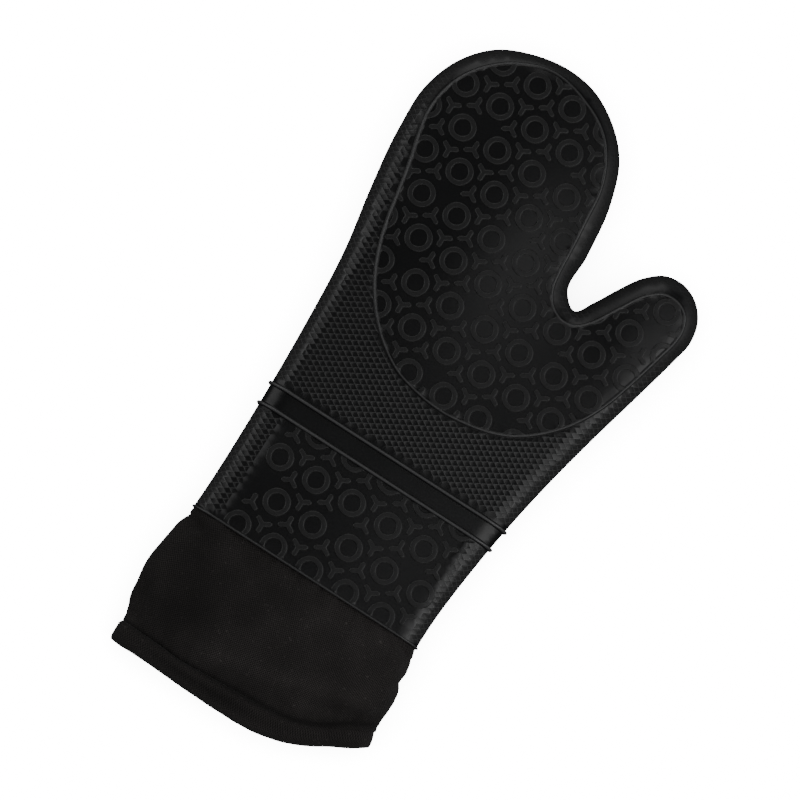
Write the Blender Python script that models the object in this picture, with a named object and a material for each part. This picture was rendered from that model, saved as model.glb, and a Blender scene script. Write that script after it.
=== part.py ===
"""Heat resistant silicone mitt with a quilted liner and a woven cuff, lying flat and empty.

Frame: the mitt lies on the plane z = 0, its cuff towards -Y, its fingertips towards +Y and its
thumb towards +X.  The origin is under the middle of the mitt's box.  Dimensions are in
millimetres, and become metres when a mesh is made.

Every layer of the mitt is the space between two closed surfaces of the same pattern, each of
them the outer surface moved inwards by an inset.  A piece is one layer, cut to its zone by an
upright prism, and where it is sewn from two panels also at the mitt's mid height.
"""
import math

import bpy
import numpy as np
from mathutils.geometry import delaunay_2d_cdt

MM = 0.001
GAP = 0.3                       # clearance left between neighbouring pieces

# Layers, as insets of their outer and inner faces from the mitt's outer surface
SHELL = (0.0, 2.0)
WADDING = (2.3, 5.3)
LINING = (5.6, 6.4)
LINER_SEAM = (6.7, 8.2)
FLEX_LINER = (2.3, 6.4)         # wadding and lining together, where the mitt bends
CUFF_FOLD = (0.3, 2.1)          # cuff cloth and its lining together, where the cuff folds
CUFF_CLOTH = (0.0, 1.0)
CUFF_LINING = (1.3, 2.1)
HEM = (0.0, 4.5)
HEM_THREAD = (0.4, 1.6)

# Outline of the mitt seen from above, counter-clockwise: up the thumb side, over the thumb, through
# the crotch, over the fingertips and down to the cuff.  It runs on below the hem, which cuts it off.
OUTLINE = [
    (61.8, -108.2), (65.2, -51.7), (71.2, -11.2), (79.8, 30.3), (89.6, 71.0), (94.4, 91.8),
    (96.6, 103.8), (94.0, 116.0), (87.0, 124.6), (76.8, 129.0), (66.0, 127.8), (56.6, 120.4),
    (48.4, 107.8), (41.6, 95.4), (35.2, 86.2), (28.8, 91.4), (26.8, 113.2), (22.4, 143.8),
    (13.2, 166.8), (-3.0, 182.5), (-18.2, 190.0), (-33.5, 192.1), (-54.0, 188.8), (-73.0, 180.0),
    (-86.8, 164.0), (-93.9, 143.4), (-93.8, 117.8), (-89.0, 81.4), (-83.4, 50.4), (-79.0, -0.7),
    (-77.2, -41.7), (-76.8, -108.2), (-79.2, -143.7), (-78.4, -166.0), (-76.6, -177.6),
    (-75.0, -196.0), (-63.0, -214.0), (-5.0, -221.0), (58.0, -214.0), (70.0, -197.0), (70.6, -174.0),
    (68.2, -161.4), (64.6, -150.0), (64.4, -136.7),
]
OUTLINE_STEP = 24.0             # longest run between two outline vertices
OUTLINE_TURN = math.radians(24.0)   # most that the outline turns between two vertices
OUTLINE_FINENESS = 1500         # points of the smooth outline that the vertices are picked from
GRID_STEP = 22.0                # spacing of the vertices inside the top surface
RIM_ROOM = 0.45                 # they stay this share of a step away from the rounded sides

# Heights along the mitt: (y, height)
TOP_HEIGHTS = [(-222, 18.0), (-192, 18.0), (-172, 18.8), (-140, 21.0), (-106, 23.0), (-70, 24.0),
               (-36, 23.0), (20, 25.0), (90, 26.5), (150, 26.0), (192, 23.0)]
MID_HEIGHTS = [(-222, 9.2), (-190, 9.2), (-175, 9.3), (-150, 10.8), (-125, 12.4), (-106, 13.0),
               (-85, 13.0), (0, 13.0), (192, 13.0)]
SIDE_RADII = [(-222, 9.0), (-195, 9.0), (-175, 9.2), (-140, 10.6), (-106, 12.0), (-85, 12.0),
              (0, 12.0), (192, 12.0)]
# Swells of the top surface: centre x, centre y, height, width in x, width in y
SWELLS = [
    (-28.0, 95.0, 4.0, 36.0, 60.0),
    (68.0, 86.0, 1.5, 18.0, 26.0),
    (-8.0, -75.0, 1.0, 40.0, 30.0),
]
TOP_ANGLES = (30, 60, 90)       # rings of the rounded side above the mid height, in degrees
BOTTOM_ANGLES = (45, 90)
SMOOTH_ANGLE = math.radians(40)
TRIANGULATION_EPSILON = 1e-6

# Where the pieces end, seen from above
SLEEVE_EDGE_Y = -108.2
WADDING_EDGE_Y = -97.7
KNUCKLE_Y = 82.7
FLEX_WIDTH = 26.0               # length of shell that bends, at the knuckles and at the thumb
CROTCH_X = 37.5                 # the zones of thumb and fingers part here, above the knuckle line
THUMB_LINE_ANGLE = math.radians(-62.3)
CUFF_FOLD_LENGTH = 20.5
JOIN_START = 1.5                # the cloth sewn to the liner starts this far inside the sleeve
SIDE_SEAM_X = (-40.0, 30.0)     # the hand's seams lie beyond these, towards its two sides
THUMB_SIDE_SEAM_END_Y = 20.0
SPLIT_Y = (-190.0, -175.0, -162.0, -150.0, -128.0, -106.0)  # corners of the cut between palm and back
FAR = 260.0                     # well outside the mitt
HEM_CREASE = [(-110.0, -176.2), (-73.5, -177.6), (-51.7, -178.3), (-36.8, -179.0), (-23.1, -178.1),
              (-9.4, -177.0), (4.4, -176.3), (24.6, -174.1), (33.0, -171.6), (41.8, -167.4),
              (51.9, -160.6), (62.8, -154.2), (100.0, -132.7)]
HEM_EDGE = [(-110.0, -187.2), (-73.5, -189.0), (-55.0, -189.0), (-33.5, -189.9), (-10.0, -190.4),
            (6.5, -190.1), (20.0, -188.2), (36.5, -182.7), (53.0, -173.3), (69.5, -164.5), (100.0, -147.7)]
THREAD_WIDTH = 1.0
CREASE_WIDTH = 2.0              # room between panel and hem, which the thread lies in
SEAM_WIDTH = 3.0
CUTTER_Z = (-20.0, 60.0)

# Where the joints' pivots lie along their axes
FINGERS_PIVOT_X = -34.0
THUMB_PIVOT_REACH = 30.0        # along the thumb line from the crotch
CUFF_PIVOT_X = -7.5

MATERIALS = {                   # base colour, roughness
    "silicone": ((0.013, 0.013, 0.014), 0.45),
    "cuff_cotton": ((0.022, 0.019, 0.019), 0.95),
    "lining_cotton": ((0.030, 0.028, 0.028), 0.95),
    "wadding": ((0.60, 0.59, 0.56), 1.0),
    "thread": ((0.020, 0.018, 0.018), 0.8),
}


def hermite(knots, at):
    """Smooth curve through the knots, a list of (position, value), at the given positions."""
    where, value = np.array(knots, float).T
    slope = np.gradient(value, where)
    at = np.clip(np.asarray(at, float), where[0], where[-1])
    left = np.clip(np.searchsorted(where, at, side="right") - 1, 0, len(where) - 2)
    run = where[left + 1] - where[left]
    u = (at - where[left]) / run
    return ((1 + 2 * u) * (1 - u) ** 2 * value[left] + u * (1 - u) ** 2 * run * slope[left]
            + u * u * (3 - 2 * u) * value[left + 1] + u * u * (u - 1) * run * slope[left + 1])


def top_height(x, y):
    """Height of the outer surface over the flat of the mitt."""
    height = hermite(TOP_HEIGHTS, y)
    for centre_x, centre_y, rise, width_x, width_y in SWELLS:
        height = height + rise * np.exp(-((x - centre_x) / width_x) ** 2 - ((y - centre_y) / width_y) ** 2)
    return height


def outline_samples():
    """Outline vertices and outward normals, closer together where the outline turns."""
    points = np.array(OUTLINE[-2:] + OUTLINE + OUTLINE[:3], float)
    place = np.concatenate([[0.0], np.cumsum(np.hypot(*np.diff(points, axis=0).T))])
    fine = np.linspace(place[2], place[-3], OUTLINE_FINENESS, endpoint=False)
    dense = np.stack([hermite(np.column_stack([place, points[:, k]]), fine) for k in (0, 1)], 1)
    run = np.roll(dense, -1, 0) - dense
    length = np.hypot(*run.T)
    heading = np.unwrap(np.arctan2(run[:, 1], run[:, 0]))
    turn = np.abs(np.diff(heading, append=heading[0] + 2 * math.pi))
    weight = np.concatenate([[0.0], np.cumsum(length / OUTLINE_STEP + turn / OUTLINE_TURN)])
    count = int(math.ceil(weight[-1]))
    wanted = np.arange(count) * weight[-1] / count
    closed = np.vstack([dense, dense[:1]])
    samples = np.stack([np.interp(wanted, weight, closed[:, k]) for k in (0, 1)], 1)
    step = np.searchsorted(weight, wanted, side="right") - 1
    tangent = run[step] / length[step, None]
    tangent = tangent + run[step - 1] / length[step - 1, None]
    tangent /= np.hypot(*tangent.T)[:, None]
    return samples, np.stack([tangent[:, 1], -tangent[:, 0]], 1)


def inside(polygon, points):
    """Which points lie inside the polygon."""
    result = np.zeros(len(points), bool)
    for start, end in zip(polygon, np.roll(polygon, -1, 0)):
        spans = (start[1] > points[:, 1]) != (end[1] > points[:, 1])
        rise = end[1] - start[1] if end[1] != start[1] else 1.0
        crossing = start[0] + (points[:, 1] - start[1]) * (end[0] - start[0]) / rise
        result ^= spans & (points[:, 0] < crossing)
    return result


def flat_pattern():
    """Side rings' outline data, and the triangles over the flat of the mitt."""
    samples, normals = outline_samples()
    radius = hermite(SIDE_RADII, samples[:, 1])
    rim = samples - normals * radius[:, None]
    low, high = rim.min(0), rim.max(0)
    rows = np.arange(low[1], high[1], GRID_STEP * math.sqrt(0.75))
    grid = [(x + (k % 2) * GRID_STEP / 2, y) for k, y in enumerate(rows)
            for x in np.arange(low[0], high[0], GRID_STEP)]
    grid = np.array(grid)
    away = np.hypot(*(grid[:, None] - rim[None]).transpose(2, 0, 1)).min(1)
    grid = grid[inside(rim, grid) & (away > GRID_STEP * RIM_ROOM)]
    ring = list(range(len(rim)))
    top = delaunay_2d_cdt([tuple(p) for p in np.vstack([rim, grid])], [], [ring], 1, TRIANGULATION_EPSILON)
    bottom = delaunay_2d_cdt([tuple(p) for p in rim], [], [ring], 1, TRIANGULATION_EPSILON)
    return samples, normals, radius, rim, grid, top[2], bottom[2]


PATTERN = flat_pattern()


def closed_surface(inset):
    """The mitt's outer surface moved inwards by an inset: vertices and outward faces."""
    samples, normals, radius, rim, grid, top_faces, bottom_faces = PATTERN
    count = len(samples)
    mid = hermite(MID_HEIGHTS, samples[:, 1])
    top = top_height(*rim.T)

    def ring(angle, height):
        move = inset + (radius - inset) * (1 - math.cos(angle))
        flat = samples - normals * move[:, None]
        return np.column_stack([flat, mid + (height - mid) * math.sin(angle)])

    rings = [ring(math.radians(angle), inset) for angle in BOTTOM_ANGLES[::-1]]
    rings.append(ring(0.0, mid))
    rings += [ring(math.radians(angle), top - inset) for angle in TOP_ANGLES]
    middle = np.column_stack([grid, top_height(*grid.T) - inset])
    vertices = np.vstack(rings + [middle])
    faces = []
    for level in range(len(rings) - 1):
        for i in range(count):
            j = (i + 1) % count
            low, high = level * count, (level + 1) * count
            faces += [(low + i, low + j, high + j), (low + i, high + j, high + i)]
    upper = (len(rings) - 1) * count
    faces += [tuple(upper + i for i in face) for face in top_faces]
    faces += [tuple(reversed(face)) for face in bottom_faces]
    return vertices, faces


def layer_blank(layer):
    """A whole layer: the closed space between its outer and inner surfaces."""
    outer, outer_faces = closed_surface(layer[0])
    inner, inner_faces = closed_surface(layer[1])
    faces = outer_faces + [tuple(len(outer) + i for i in reversed(face)) for face in inner_faces]
    mesh = bpy.data.meshes.new("layer_blank")
    mesh.from_pydata([tuple(v) for v in np.vstack([outer, inner]) * MM], [], faces)
    mesh.shade_smooth()
    mesh.set_sharp_from_angle(angle=SMOOTH_ANGLE)
    return mesh


def prism(name, polygon, across, along_x=False):
    """Cutter with a counter-clockwise polygon in XY, or in YZ where it runs along X."""
    count = len(polygon)
    ends = [[(w, u, v) if along_x else (u, v, w) for u, v in polygon] for w in across]
    faces = [tuple(range(count))[::-1], tuple(range(count, 2 * count))]
    faces += [(i, (i + 1) % count, count + (i + 1) % count, count + i) for i in range(count)]
    mesh = bpy.data.meshes.new(name)
    mesh.from_pydata([tuple(c * MM for c in corner) for end in ends for corner in end], [], faces)
    cutter = bpy.data.objects.new(name, mesh)
    bpy.context.scene.collection.objects.link(cutter)
    cutter.hide_render = True
    cutter.display_type = "WIRE"
    return cutter


def thumb_line(offset, reach):
    """A point on the thumb line, moved towards the thumb by an offset."""
    along = (math.cos(THUMB_LINE_ANGLE), math.sin(THUMB_LINE_ANGLE))
    return (CROTCH_X - along[1] * offset + along[0] * reach,
            KNUCKLE_Y + along[0] * offset + along[1] * reach)


def thumb_line_at_x(offset, x):
    """The point of the moved thumb line that has the given x."""
    start = thumb_line(offset, 0.0)
    return thumb_line(offset, (x - start[0]) / math.cos(THUMB_LINE_ANGLE))


def thumb_line_at_y(offset, y):
    """The point of the moved thumb line that has the given y."""
    return thumb_line(offset, (y - thumb_line(offset, 0.0)[1]) / math.sin(THUMB_LINE_ANGLE))


def shifted(line, by):
    """A line across the cuff, moved along Y."""
    return [(x, y + by) for x, y in line]


def zone_cutters():
    """The upright prisms that cut the layers to their zones."""
    half = GAP / 2
    knuckle_end = KNUCKLE_Y + FLEX_WIDTH
    fold_end = SLEEVE_EDGE_Y - CUFF_FOLD_LENGTH
    left, right = CROTCH_X - half, CROTCH_X + half

    def hand(low):
        return [(-FAR, low), thumb_line_at_y(-half, low),
                thumb_line_at_y(-half, KNUCKLE_Y - half), (-FAR, KNUCKLE_Y - half)]

    def band(low, high, side=(-FAR, FAR)):
        return [(side[0], low), (side[1], low), (side[1], high), (side[0], high)]

    root_start = thumb_line_at_x(half, right)
    root_end = thumb_line_at_x(FLEX_WIDTH - half, right)
    tip_start = thumb_line_at_x(FLEX_WIDTH + half, right)
    panel_end = shifted(HEM_CREASE, CREASE_WIDTH / 2)
    hem_start = shifted(HEM_CREASE, -CREASE_WIDTH / 2)
    zones = {
        "hand": hand(SLEEVE_EDGE_Y + half),
        "hand_wadding": hand(WADDING_EDGE_Y + half),
        "cuff_join": band(SLEEVE_EDGE_Y + JOIN_START, WADDING_EDGE_Y - half),
        "knuckle": band(KNUCKLE_Y + half, knuckle_end - half, (-FAR, left)),
        "finger": band(knuckle_end + half, FAR, (-FAR, left)),
        "thumb_root": [root_start, thumb_line(half, FAR), thumb_line(FLEX_WIDTH - half, FAR), root_end],
        "thumb": [tip_start, thumb_line(FLEX_WIDTH + half, FAR), (FAR, FAR), (right, FAR)],
        "cuff_fold": band(fold_end + half, SLEEVE_EDGE_Y - half),
        "cuff": panel_end + [(FAR, fold_end - half), (-FAR, fold_end - half)],
        "hem": HEM_EDGE + hem_start[::-1],
        "hem_thread": shifted(HEM_CREASE, -THREAD_WIDTH / 2) + shifted(HEM_CREASE, THREAD_WIDTH / 2)[::-1],
        "outer_side": band(WADDING_EDGE_Y, KNUCKLE_Y - half, (-FAR, SIDE_SEAM_X[0])),
        "thumb_side": band(WADDING_EDGE_Y, THUMB_SIDE_SEAM_END_Y, (SIDE_SEAM_X[1], FAR)),
    }
    return {name: prism("cut_" + name, polygon, CUTTER_Z) for name, polygon in zones.items()}


def height_cutters():
    """Prisms along X that keep what lies below, above or beside the mid height."""
    half = GAP / 2
    y = np.array([-FAR, *SPLIT_Y, FAR])
    mid = hermite(MID_HEIGHTS, y)

    def slab(name, low, high):
        outline = list(zip(y, low)) + list(zip(y, high))[::-1]
        return prism("cut_" + name, outline, (-FAR, FAR), along_x=True)

    low_end, high_end = np.full(len(y), CUTTER_Z[0]), np.full(len(y), CUTTER_Z[1])
    return {
        "back": slab("back", low_end, mid - half),
        "palm": slab("palm", mid + half, high_end),
        "seam": slab("seam", mid - SEAM_WIDTH / 2, mid + SEAM_WIDTH / 2),
    }


def material(name, kind):
    """A material of its own for one piece."""
    colour, roughness = MATERIALS[kind]
    new = bpy.data.materials.new(name + "_" + kind)
    new.use_nodes = True
    shader = new.node_tree.nodes["Principled BSDF"]
    shader.inputs["Base Color"].default_value = (*colour, 1.0)
    shader.inputs["Roughness"].default_value = roughness
    return new


def pivot(name, place):
    """Empty on a joint's axis, which the pieces of one body hang from."""
    empty = bpy.data.objects.new(name, None)
    empty.location = [c * MM for c in place]
    bpy.context.scene.collection.objects.link(empty)
    return empty


def piece(name, kind, blank, cutters, parent=None):
    """One named piece: a layer's mesh, cut to its zone."""
    mesh = blank.copy()
    mesh.name = name
    mesh.materials.append(material(name, kind))
    new = bpy.data.objects.new(name, mesh)
    bpy.context.scene.collection.objects.link(new)
    for cutter in cutters:
        cut = new.modifiers.new(cutter.name, "BOOLEAN")
        cut.operation = "INTERSECT"
        cut.solver = "EXACT"
        cut.object = cutter
    if parent:
        new.parent = parent
        new.location = -parent.location
    return new


def build():
    """Builds every piece, and the pivots that they hang from."""
    for old in list(bpy.data.objects):
        bpy.data.objects.remove(old)
    zone, level = zone_cutters(), height_cutters()
    mid = float(hermite(MID_HEIGHTS, 0.0))
    fold_y = SLEEVE_EDGE_Y - CUFF_FOLD_LENGTH / 2
    fingers = pivot("fingers_pivot", (FINGERS_PIVOT_X, KNUCKLE_Y + FLEX_WIDTH / 2, mid))
    thumb = pivot("thumb_pivot", (*thumb_line(FLEX_WIDTH / 2, THUMB_PIVOT_REACH), mid))
    cuff = pivot("cuff_pivot", (CUFF_PIVOT_X, fold_y, float(hermite(MID_HEIGHTS, fold_y))))

    shell = layer_blank(SHELL)
    piece("hand_shell", "silicone", shell, [zone["hand"]])
    piece("knuckle_shell", "silicone", shell, [zone["knuckle"]], fingers)
    piece("finger_shell", "silicone", shell, [zone["finger"]], fingers)
    piece("thumb_root_shell", "silicone", shell, [zone["thumb_root"]], thumb)
    piece("thumb_shell", "silicone", shell, [zone["thumb"]], thumb)

    wadding, lining, seam = layer_blank(WADDING), layer_blank(LINING), layer_blank(LINER_SEAM)
    for part_name, wadding_zone, parent in (("hand", "hand_wadding", None), ("finger", "finger", fingers),
                                            ("thumb", "thumb", thumb)):
        for side in ("palm", "back"):
            prefix = f"{part_name}_{side}_"
            piece(prefix + "wadding", "wadding", wadding, [zone[wadding_zone], level[side]], parent)
            piece(prefix + "lining", "lining_cotton", lining, [zone[part_name], level[side]], parent)
    piece("outer_side_seam", "thread", seam, [zone["outer_side"], level["seam"]])
    piece("thumb_side_seam", "thread", seam, [zone["thumb_side"], level["seam"]])
    piece("finger_seam", "thread", seam, [zone["finger"], level["seam"]], fingers)
    piece("thumb_seam", "thread", seam, [zone["thumb"], level["seam"]], thumb)
    flex = layer_blank(FLEX_LINER)
    piece("knuckle_liner", "lining_cotton", flex, [zone["knuckle"]], fingers)
    piece("thumb_root_liner", "lining_cotton", flex, [zone["thumb_root"]], thumb)

    piece("cuff_join_seam", "cuff_cotton", wadding, [zone["cuff_join"]])
    piece("cuff_fold_cloth", "cuff_cotton", layer_blank(CUFF_FOLD), [zone["cuff_fold"]], cuff)
    cloth, cuff_lining = layer_blank(CUFF_CLOTH), layer_blank(CUFF_LINING)
    for side in ("palm", "back"):
        piece(f"cuff_{side}_panel", "cuff_cotton", cloth, [zone["cuff"], level[side]], cuff)
        piece(f"cuff_{side}_lining", "lining_cotton", cuff_lining, [zone["cuff"], level[side]], cuff)
    piece("cuff_hem", "cuff_cotton", layer_blank(HEM), [zone["hem"]], cuff)
    piece("hem_thread", "thread", layer_blank(HEM_THREAD), [zone["hem_thread"]], cuff)


build()
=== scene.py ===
"""Looks of the heat resistant mitt: moulded silicone shell, quilted liner, woven cuff, rolled hem.

The frame is the CAD's: the mitt lies on z = 0, its cuff towards -Y, its fingertips towards +Y and
its thumb towards +X.  Shapes are worked out in millimetres and become metres in the meshes.
"""
import math

import bmesh
import bpy
import numpy as np
from mathutils import Matrix, Vector, noise
from mathutils.geometry import delaunay_2d_cdt


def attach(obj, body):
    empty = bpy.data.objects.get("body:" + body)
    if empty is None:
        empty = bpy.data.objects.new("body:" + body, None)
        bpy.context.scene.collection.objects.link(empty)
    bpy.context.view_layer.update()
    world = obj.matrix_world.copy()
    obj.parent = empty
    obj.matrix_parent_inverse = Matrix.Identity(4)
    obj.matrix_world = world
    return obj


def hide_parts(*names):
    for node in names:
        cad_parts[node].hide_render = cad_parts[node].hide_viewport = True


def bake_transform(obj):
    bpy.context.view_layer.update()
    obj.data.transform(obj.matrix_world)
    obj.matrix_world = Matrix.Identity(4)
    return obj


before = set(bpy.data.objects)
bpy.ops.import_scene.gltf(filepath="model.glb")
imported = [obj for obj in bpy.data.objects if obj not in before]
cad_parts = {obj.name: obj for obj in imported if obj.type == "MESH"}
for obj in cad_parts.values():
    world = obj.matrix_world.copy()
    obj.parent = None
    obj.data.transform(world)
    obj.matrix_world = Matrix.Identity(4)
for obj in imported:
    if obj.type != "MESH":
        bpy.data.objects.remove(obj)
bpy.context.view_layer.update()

MM = 0.001

# ---- The mitt's form, as the CAD has it ----
OUTLINE = [                     # seen from above, counter-clockwise
    (61.8, -108.2), (65.2, -51.7), (71.2, -11.2), (79.8, 30.3), (89.6, 71.0), (94.4, 91.8),
    (96.6, 103.8), (94.0, 116.0), (87.0, 124.6), (76.8, 129.0), (66.0, 127.8), (56.6, 120.4),
    (48.4, 107.8), (41.6, 95.4), (35.2, 86.2), (28.8, 91.4), (26.8, 113.2), (22.4, 143.8),
    (13.2, 166.8), (-3.0, 182.5), (-18.2, 190.0), (-33.5, 192.1), (-54.0, 188.8), (-73.0, 180.0),
    (-86.8, 164.0), (-93.9, 143.4), (-93.8, 117.8), (-89.0, 81.4), (-83.4, 50.4), (-79.0, -0.7),
    (-77.2, -41.7), (-76.8, -108.2), (-79.2, -143.7), (-78.4, -166.0), (-76.6, -177.6),
    (-75.0, -196.0), (-63.0, -214.0), (-5.0, -221.0), (58.0, -214.0), (70.0, -197.0), (70.6, -174.0),
    (68.2, -161.4), (64.6, -150.0), (64.4, -136.7),
]
# (y, height) of the top and of the widest line, and (y, radius) of the rounded sides
TOP_HEIGHTS = [(-222, 18.0), (-192, 18.0), (-172, 18.8), (-140, 21.0), (-106, 23.0), (-70, 24.0),
               (-36, 23.0), (20, 25.0), (90, 26.5), (150, 26.0), (192, 23.0)]
MID_HEIGHTS = [(-222, 9.2), (-190, 9.2), (-175, 9.3), (-150, 10.8), (-125, 12.4), (-106, 13.0),
               (-85, 13.0), (0, 13.0), (192, 13.0)]
SIDE_RADII = [(-222, 9.0), (-195, 9.0), (-175, 9.2), (-140, 10.6), (-106, 12.0), (-85, 12.0),
              (0, 12.0), (192, 12.0)]
SWELLS = [                      # gentle swells of the top: x, y, rise, and reach in x and in y
    (-28.0, 95.0, 4.0, 36.0, 60.0),
    (68.0, 86.0, 1.5, 18.0, 26.0),
    (-8.0, -75.0, 1.0, 40.0, 30.0),
]
STRAIGHT_Y = 60                 # below this y the two sides run up without turning back
LEVEL_START_Y = -8              # from here down to LEVEL_RUN lower, the sides' normals turn level
LEVEL_RUN = 20
HALF_WIDTH = 95                 # grids of places over the mitt reach this far to each side
TIP_Y = 192                     # and this far up
SLEEVE_EDGE_Y = -108.2
KNUCKLE_Y = 82.7
CROTCH_X = 37.5
CROTCH_BOX = (28, 40, 80, 96)   # the crotch is the outline's lowest place in this left, right, low, high
PALM_BOX = ((-96, 0), (96, 200))
THUMB_LINE_ANGLE = math.radians(-62.3)
# (x, y) along the crease above the hem, and along the hem's edge
HEM_CREASE = [(-110.0, -176.2), (-73.5, -177.6), (-51.7, -178.3), (-36.8, -179.0), (-23.1, -178.1),
              (-9.4, -177.0), (4.4, -176.3), (24.6, -174.1), (33.0, -171.6), (41.8, -167.4),
              (51.9, -160.6), (62.8, -154.2), (100.0, -132.7)]
HEM_EDGE = [(-110.0, -187.2), (-73.5, -189.0), (-55.0, -189.0), (-33.5, -189.9), (-10.0, -190.4),
            (6.5, -190.1), (20.0, -188.2), (36.5, -182.7), (53.0, -173.3), (69.5, -164.5), (100.0, -147.7)]

# ---- The silicone shell ----
RELIEF = 0.55                   # studs stand this high, and their tops are the CAD's outer face
SHELL_INNER = 2.0               # inset of the shell's inner face
SIDE_RADIUS = 12.0              # how far in the hand's sides stay rounded
CUT_POINTS = 46                 # mesh points on the line where the thumb's pieces part from the rest
BAND_DEPTH = 4.5                # how far in the mesh of rows and columns round the sides reaches
COLUMN_STEP = 1.1
BORDER = [                      # raised line round the palm, counter-clockwise
    (5.0, 2.6), (18.2, 3.8), (30.7, 6.4), (41.5, 10.6), (50.5, 16.4), (60.0, 25.2), (67.4, 34.7),
    (75.0, 49.8), (80.9, 68.5), (86.0, 88.7), (88.3, 98.6), (88.4, 106.0), (85.2, 113.2), (79.5, 116.8),
    (71.5, 117.0), (64.6, 112.4), (54.1, 96.6), (45.3, 82.2), (41.4, 78.4), (37.2, 76.6), (32.2, 76.4),
    (27.2, 78.4), (22.6, 82.4), (19.6, 88.4), (17.9, 98.0), (17.2, 108.0), (15.2, 127.9), (13.3, 144.2),
    (10.8, 152.4), (6.7, 160.6), (0.6, 168.8), (-8.7, 175.8), (-17.7, 179.8), (-27.2, 182.9),
    (-36.7, 184.4), (-46.7, 183.3), (-55.3, 179.9), (-63.2, 175.2), (-70.1, 169.2), (-76.5, 161.6),
    (-81.6, 152.0), (-84.3, 141.6), (-84.6, 129.4), (-82.2, 118.0), (-78.6, 104.0), (-75.6, 90.0),
    (-72.6, 74.5), (-68.0, 58.0), (-60.0, 40.7), (-49.8, 26.8), (-38.9, 16.5), (-25.1, 8.1),
    (-10.8, 4.2),
]
BORDER_HEIGHT = 0.9
# Studs: the middle of one ring, the steps to the next ring and to the next row, and which rows have gaps
PALM_STUDS = {"start": (-43.2, 132.9), "ring_step": (21.73, -0.5), "row_step": (0.3, -20.35), "gap_rows": 0}
SLEEVE_STUDS = {"start": (-52.0, -62.9), "ring_step": (22.1, 0.0), "row_step": (0.0, -20.6), "gap_rows": 1}
SLEEVE_PANEL = (-58.5, 53.0, -106.3, -44.9)     # left, right, low, high
RING_RADIUS = 5.95
RING_HALF_WIDTH = 1.25
STAR_ARM = 3.85                 # from a star's middle to the middle of an arm's round end
STAR_HALF_WIDTH = 1.15
STUD_REACH = 8.0                # no part of a stud is further than this from its middle
LATTICE_REACH = 14              # rows and columns of studs worked out on each side of the first ring
RIBS = (-43.75, -32.0)
RIB_HEIGHT = 1.6
LIP_HEIGHT = 0.9
# Profiles across a raised shape: (distance from its edge or middle line, share of its height)
STUD_PROFILE = [(-0.34, 1.0), (-0.08, 0.86), (0.12, 0.0), (0.3, 0.0)]
BORDER_PROFILE = [(0.0, 1.0), (0.35, 0.86), (0.65, 0.4), (0.9, 0.0), (1.1, 0.0)]
RIB_PROFILE = [(0.0, 1.0), (0.4, 0.93), (0.75, 0.7), (1.0, 0.35), (1.15, 0.0), (1.4, 0.0)]
LIP_PROFILE = [(0.0, 0.35), (0.3, 0.88), (0.7, 1.0), (1.1, 0.7), (1.45, 0.0)]
# Painted highlight along the crests of the same shapes: (distance, share)
STUD_HIGHLIGHT = [(-0.34, 0.0), (-0.08, 0.52), (0.12, 0.0)]
BORDER_HIGHLIGHT = [(0.0, 0.85), (0.35, 0.55), (0.65, 0.1), (0.9, 0.0)]
RIB_HIGHLIGHT = [(0.0, 1.0), (0.4, 0.95), (0.75, 0.4), (1.0, 0.0)]
LIP_HIGHLIGHT = [(0.0, 0.15), (0.3, 0.5), (0.7, 0.8), (1.1, 0.3), (1.45, 0.0)]
HATCH_HIGHLIGHT = 0.72
GROUND_HIGHLIGHT = 0.03              # a little of the painted highlight tone on the ground between the fine ridges

# ---- The crossed fine ridges ----
HATCH_PITCH = 2.85
HATCH_HEIGHT = 0.36
HATCH_HALF_WIDTH = 0.27
HATCH_ANGLE = math.radians(30)
HATCH_START_Y = -28.5           # the ridges over the hand begin above the upper rib
TIP_FADE = (135.0, 165.0)       # the side's fine ridges fade out between these y, and
THUMB_FADE = (72.0, 96.0)       # between these on the thumb's side
FADED = 0.15
BORDER_CLEAR = 1.6              # room left free along the border, and
NARROW_CLEAR = 2.6              # above NARROW_Y, where the strip beside it is narrow
NARROW_Y = 70.0
PANEL_CLEAR = (3.8, 0.8, 1.2, 1.0)              # the same for the sleeve's panel: left, right, low, high
BAND_CLEAR = 0.6                # the same for the band round the sides

# ---- The silicone's mesh ----
RING_SIDES = (40, 28)           # points round a ring's outer and inner walls
STAR_TIP_POINTS = 5
BORDER_STEP = 1.3
ACROSS_POINTS = 60              # points on each line across the sleeve
FILL_STEP = 3.0                 # spacing of points where nothing is raised
SIDE_REACH = 110                # this many columns from either end reach past the ribs
FILL_ROW = 0.866                # spacing of their rows, as a share of the spacing along a row
FILL_CLEAR = 0.6                # they keep this share of the spacing to all other points
COLUMN_CLEAR = 0.4              # even columns keep this share of their step to the fixed ones
CURVE_STEP = 0.4
DENSE_POINTS = 6000             # a loop is measured on this many points
PART_SIZE = 4000                # the nearest places are looked up for this many points at a time
END_TOLERANCE = 0.2             # an edge this near to a piece's low end belongs to that end
PALM_MARGIN = 1.22              # points of a stud nearer than this to the border, or
SLEEVE_MARGIN = 0.1             # to the sleeve panel's ends, are left out
HATCH_REACH = 230               # the fine ridges are worked out this far from the origin
SIDE_ROWS = 6                   # rows from the widest line to the top of the sides
INNER_COLUMN_STEP = 4 * COLUMN_STEP
INNER_STEP = 12.0
INNER_SIDE_ROWS = 4


# ---- Curves and surfaces ----
def hermite(knots, at):
    """Smooth curve through the knots, a list of (position, value), at the given positions."""
    where, value = np.array(knots, float).T
    slope = np.gradient(value, where)
    at = np.clip(np.asarray(at, float), where[0], where[-1])
    left = np.clip(np.searchsorted(where, at, side="right") - 1, 0, len(where) - 2)
    run = where[left + 1] - where[left]
    u = (at - where[left]) / run
    return ((1 + 2 * u) * (1 - u) ** 2 * value[left] + u * (1 - u) ** 2 * run * slope[left]
            + u * u * (3 - 2 * u) * value[left + 1] + u * u * (u - 1) * run * slope[left + 1])


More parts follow.
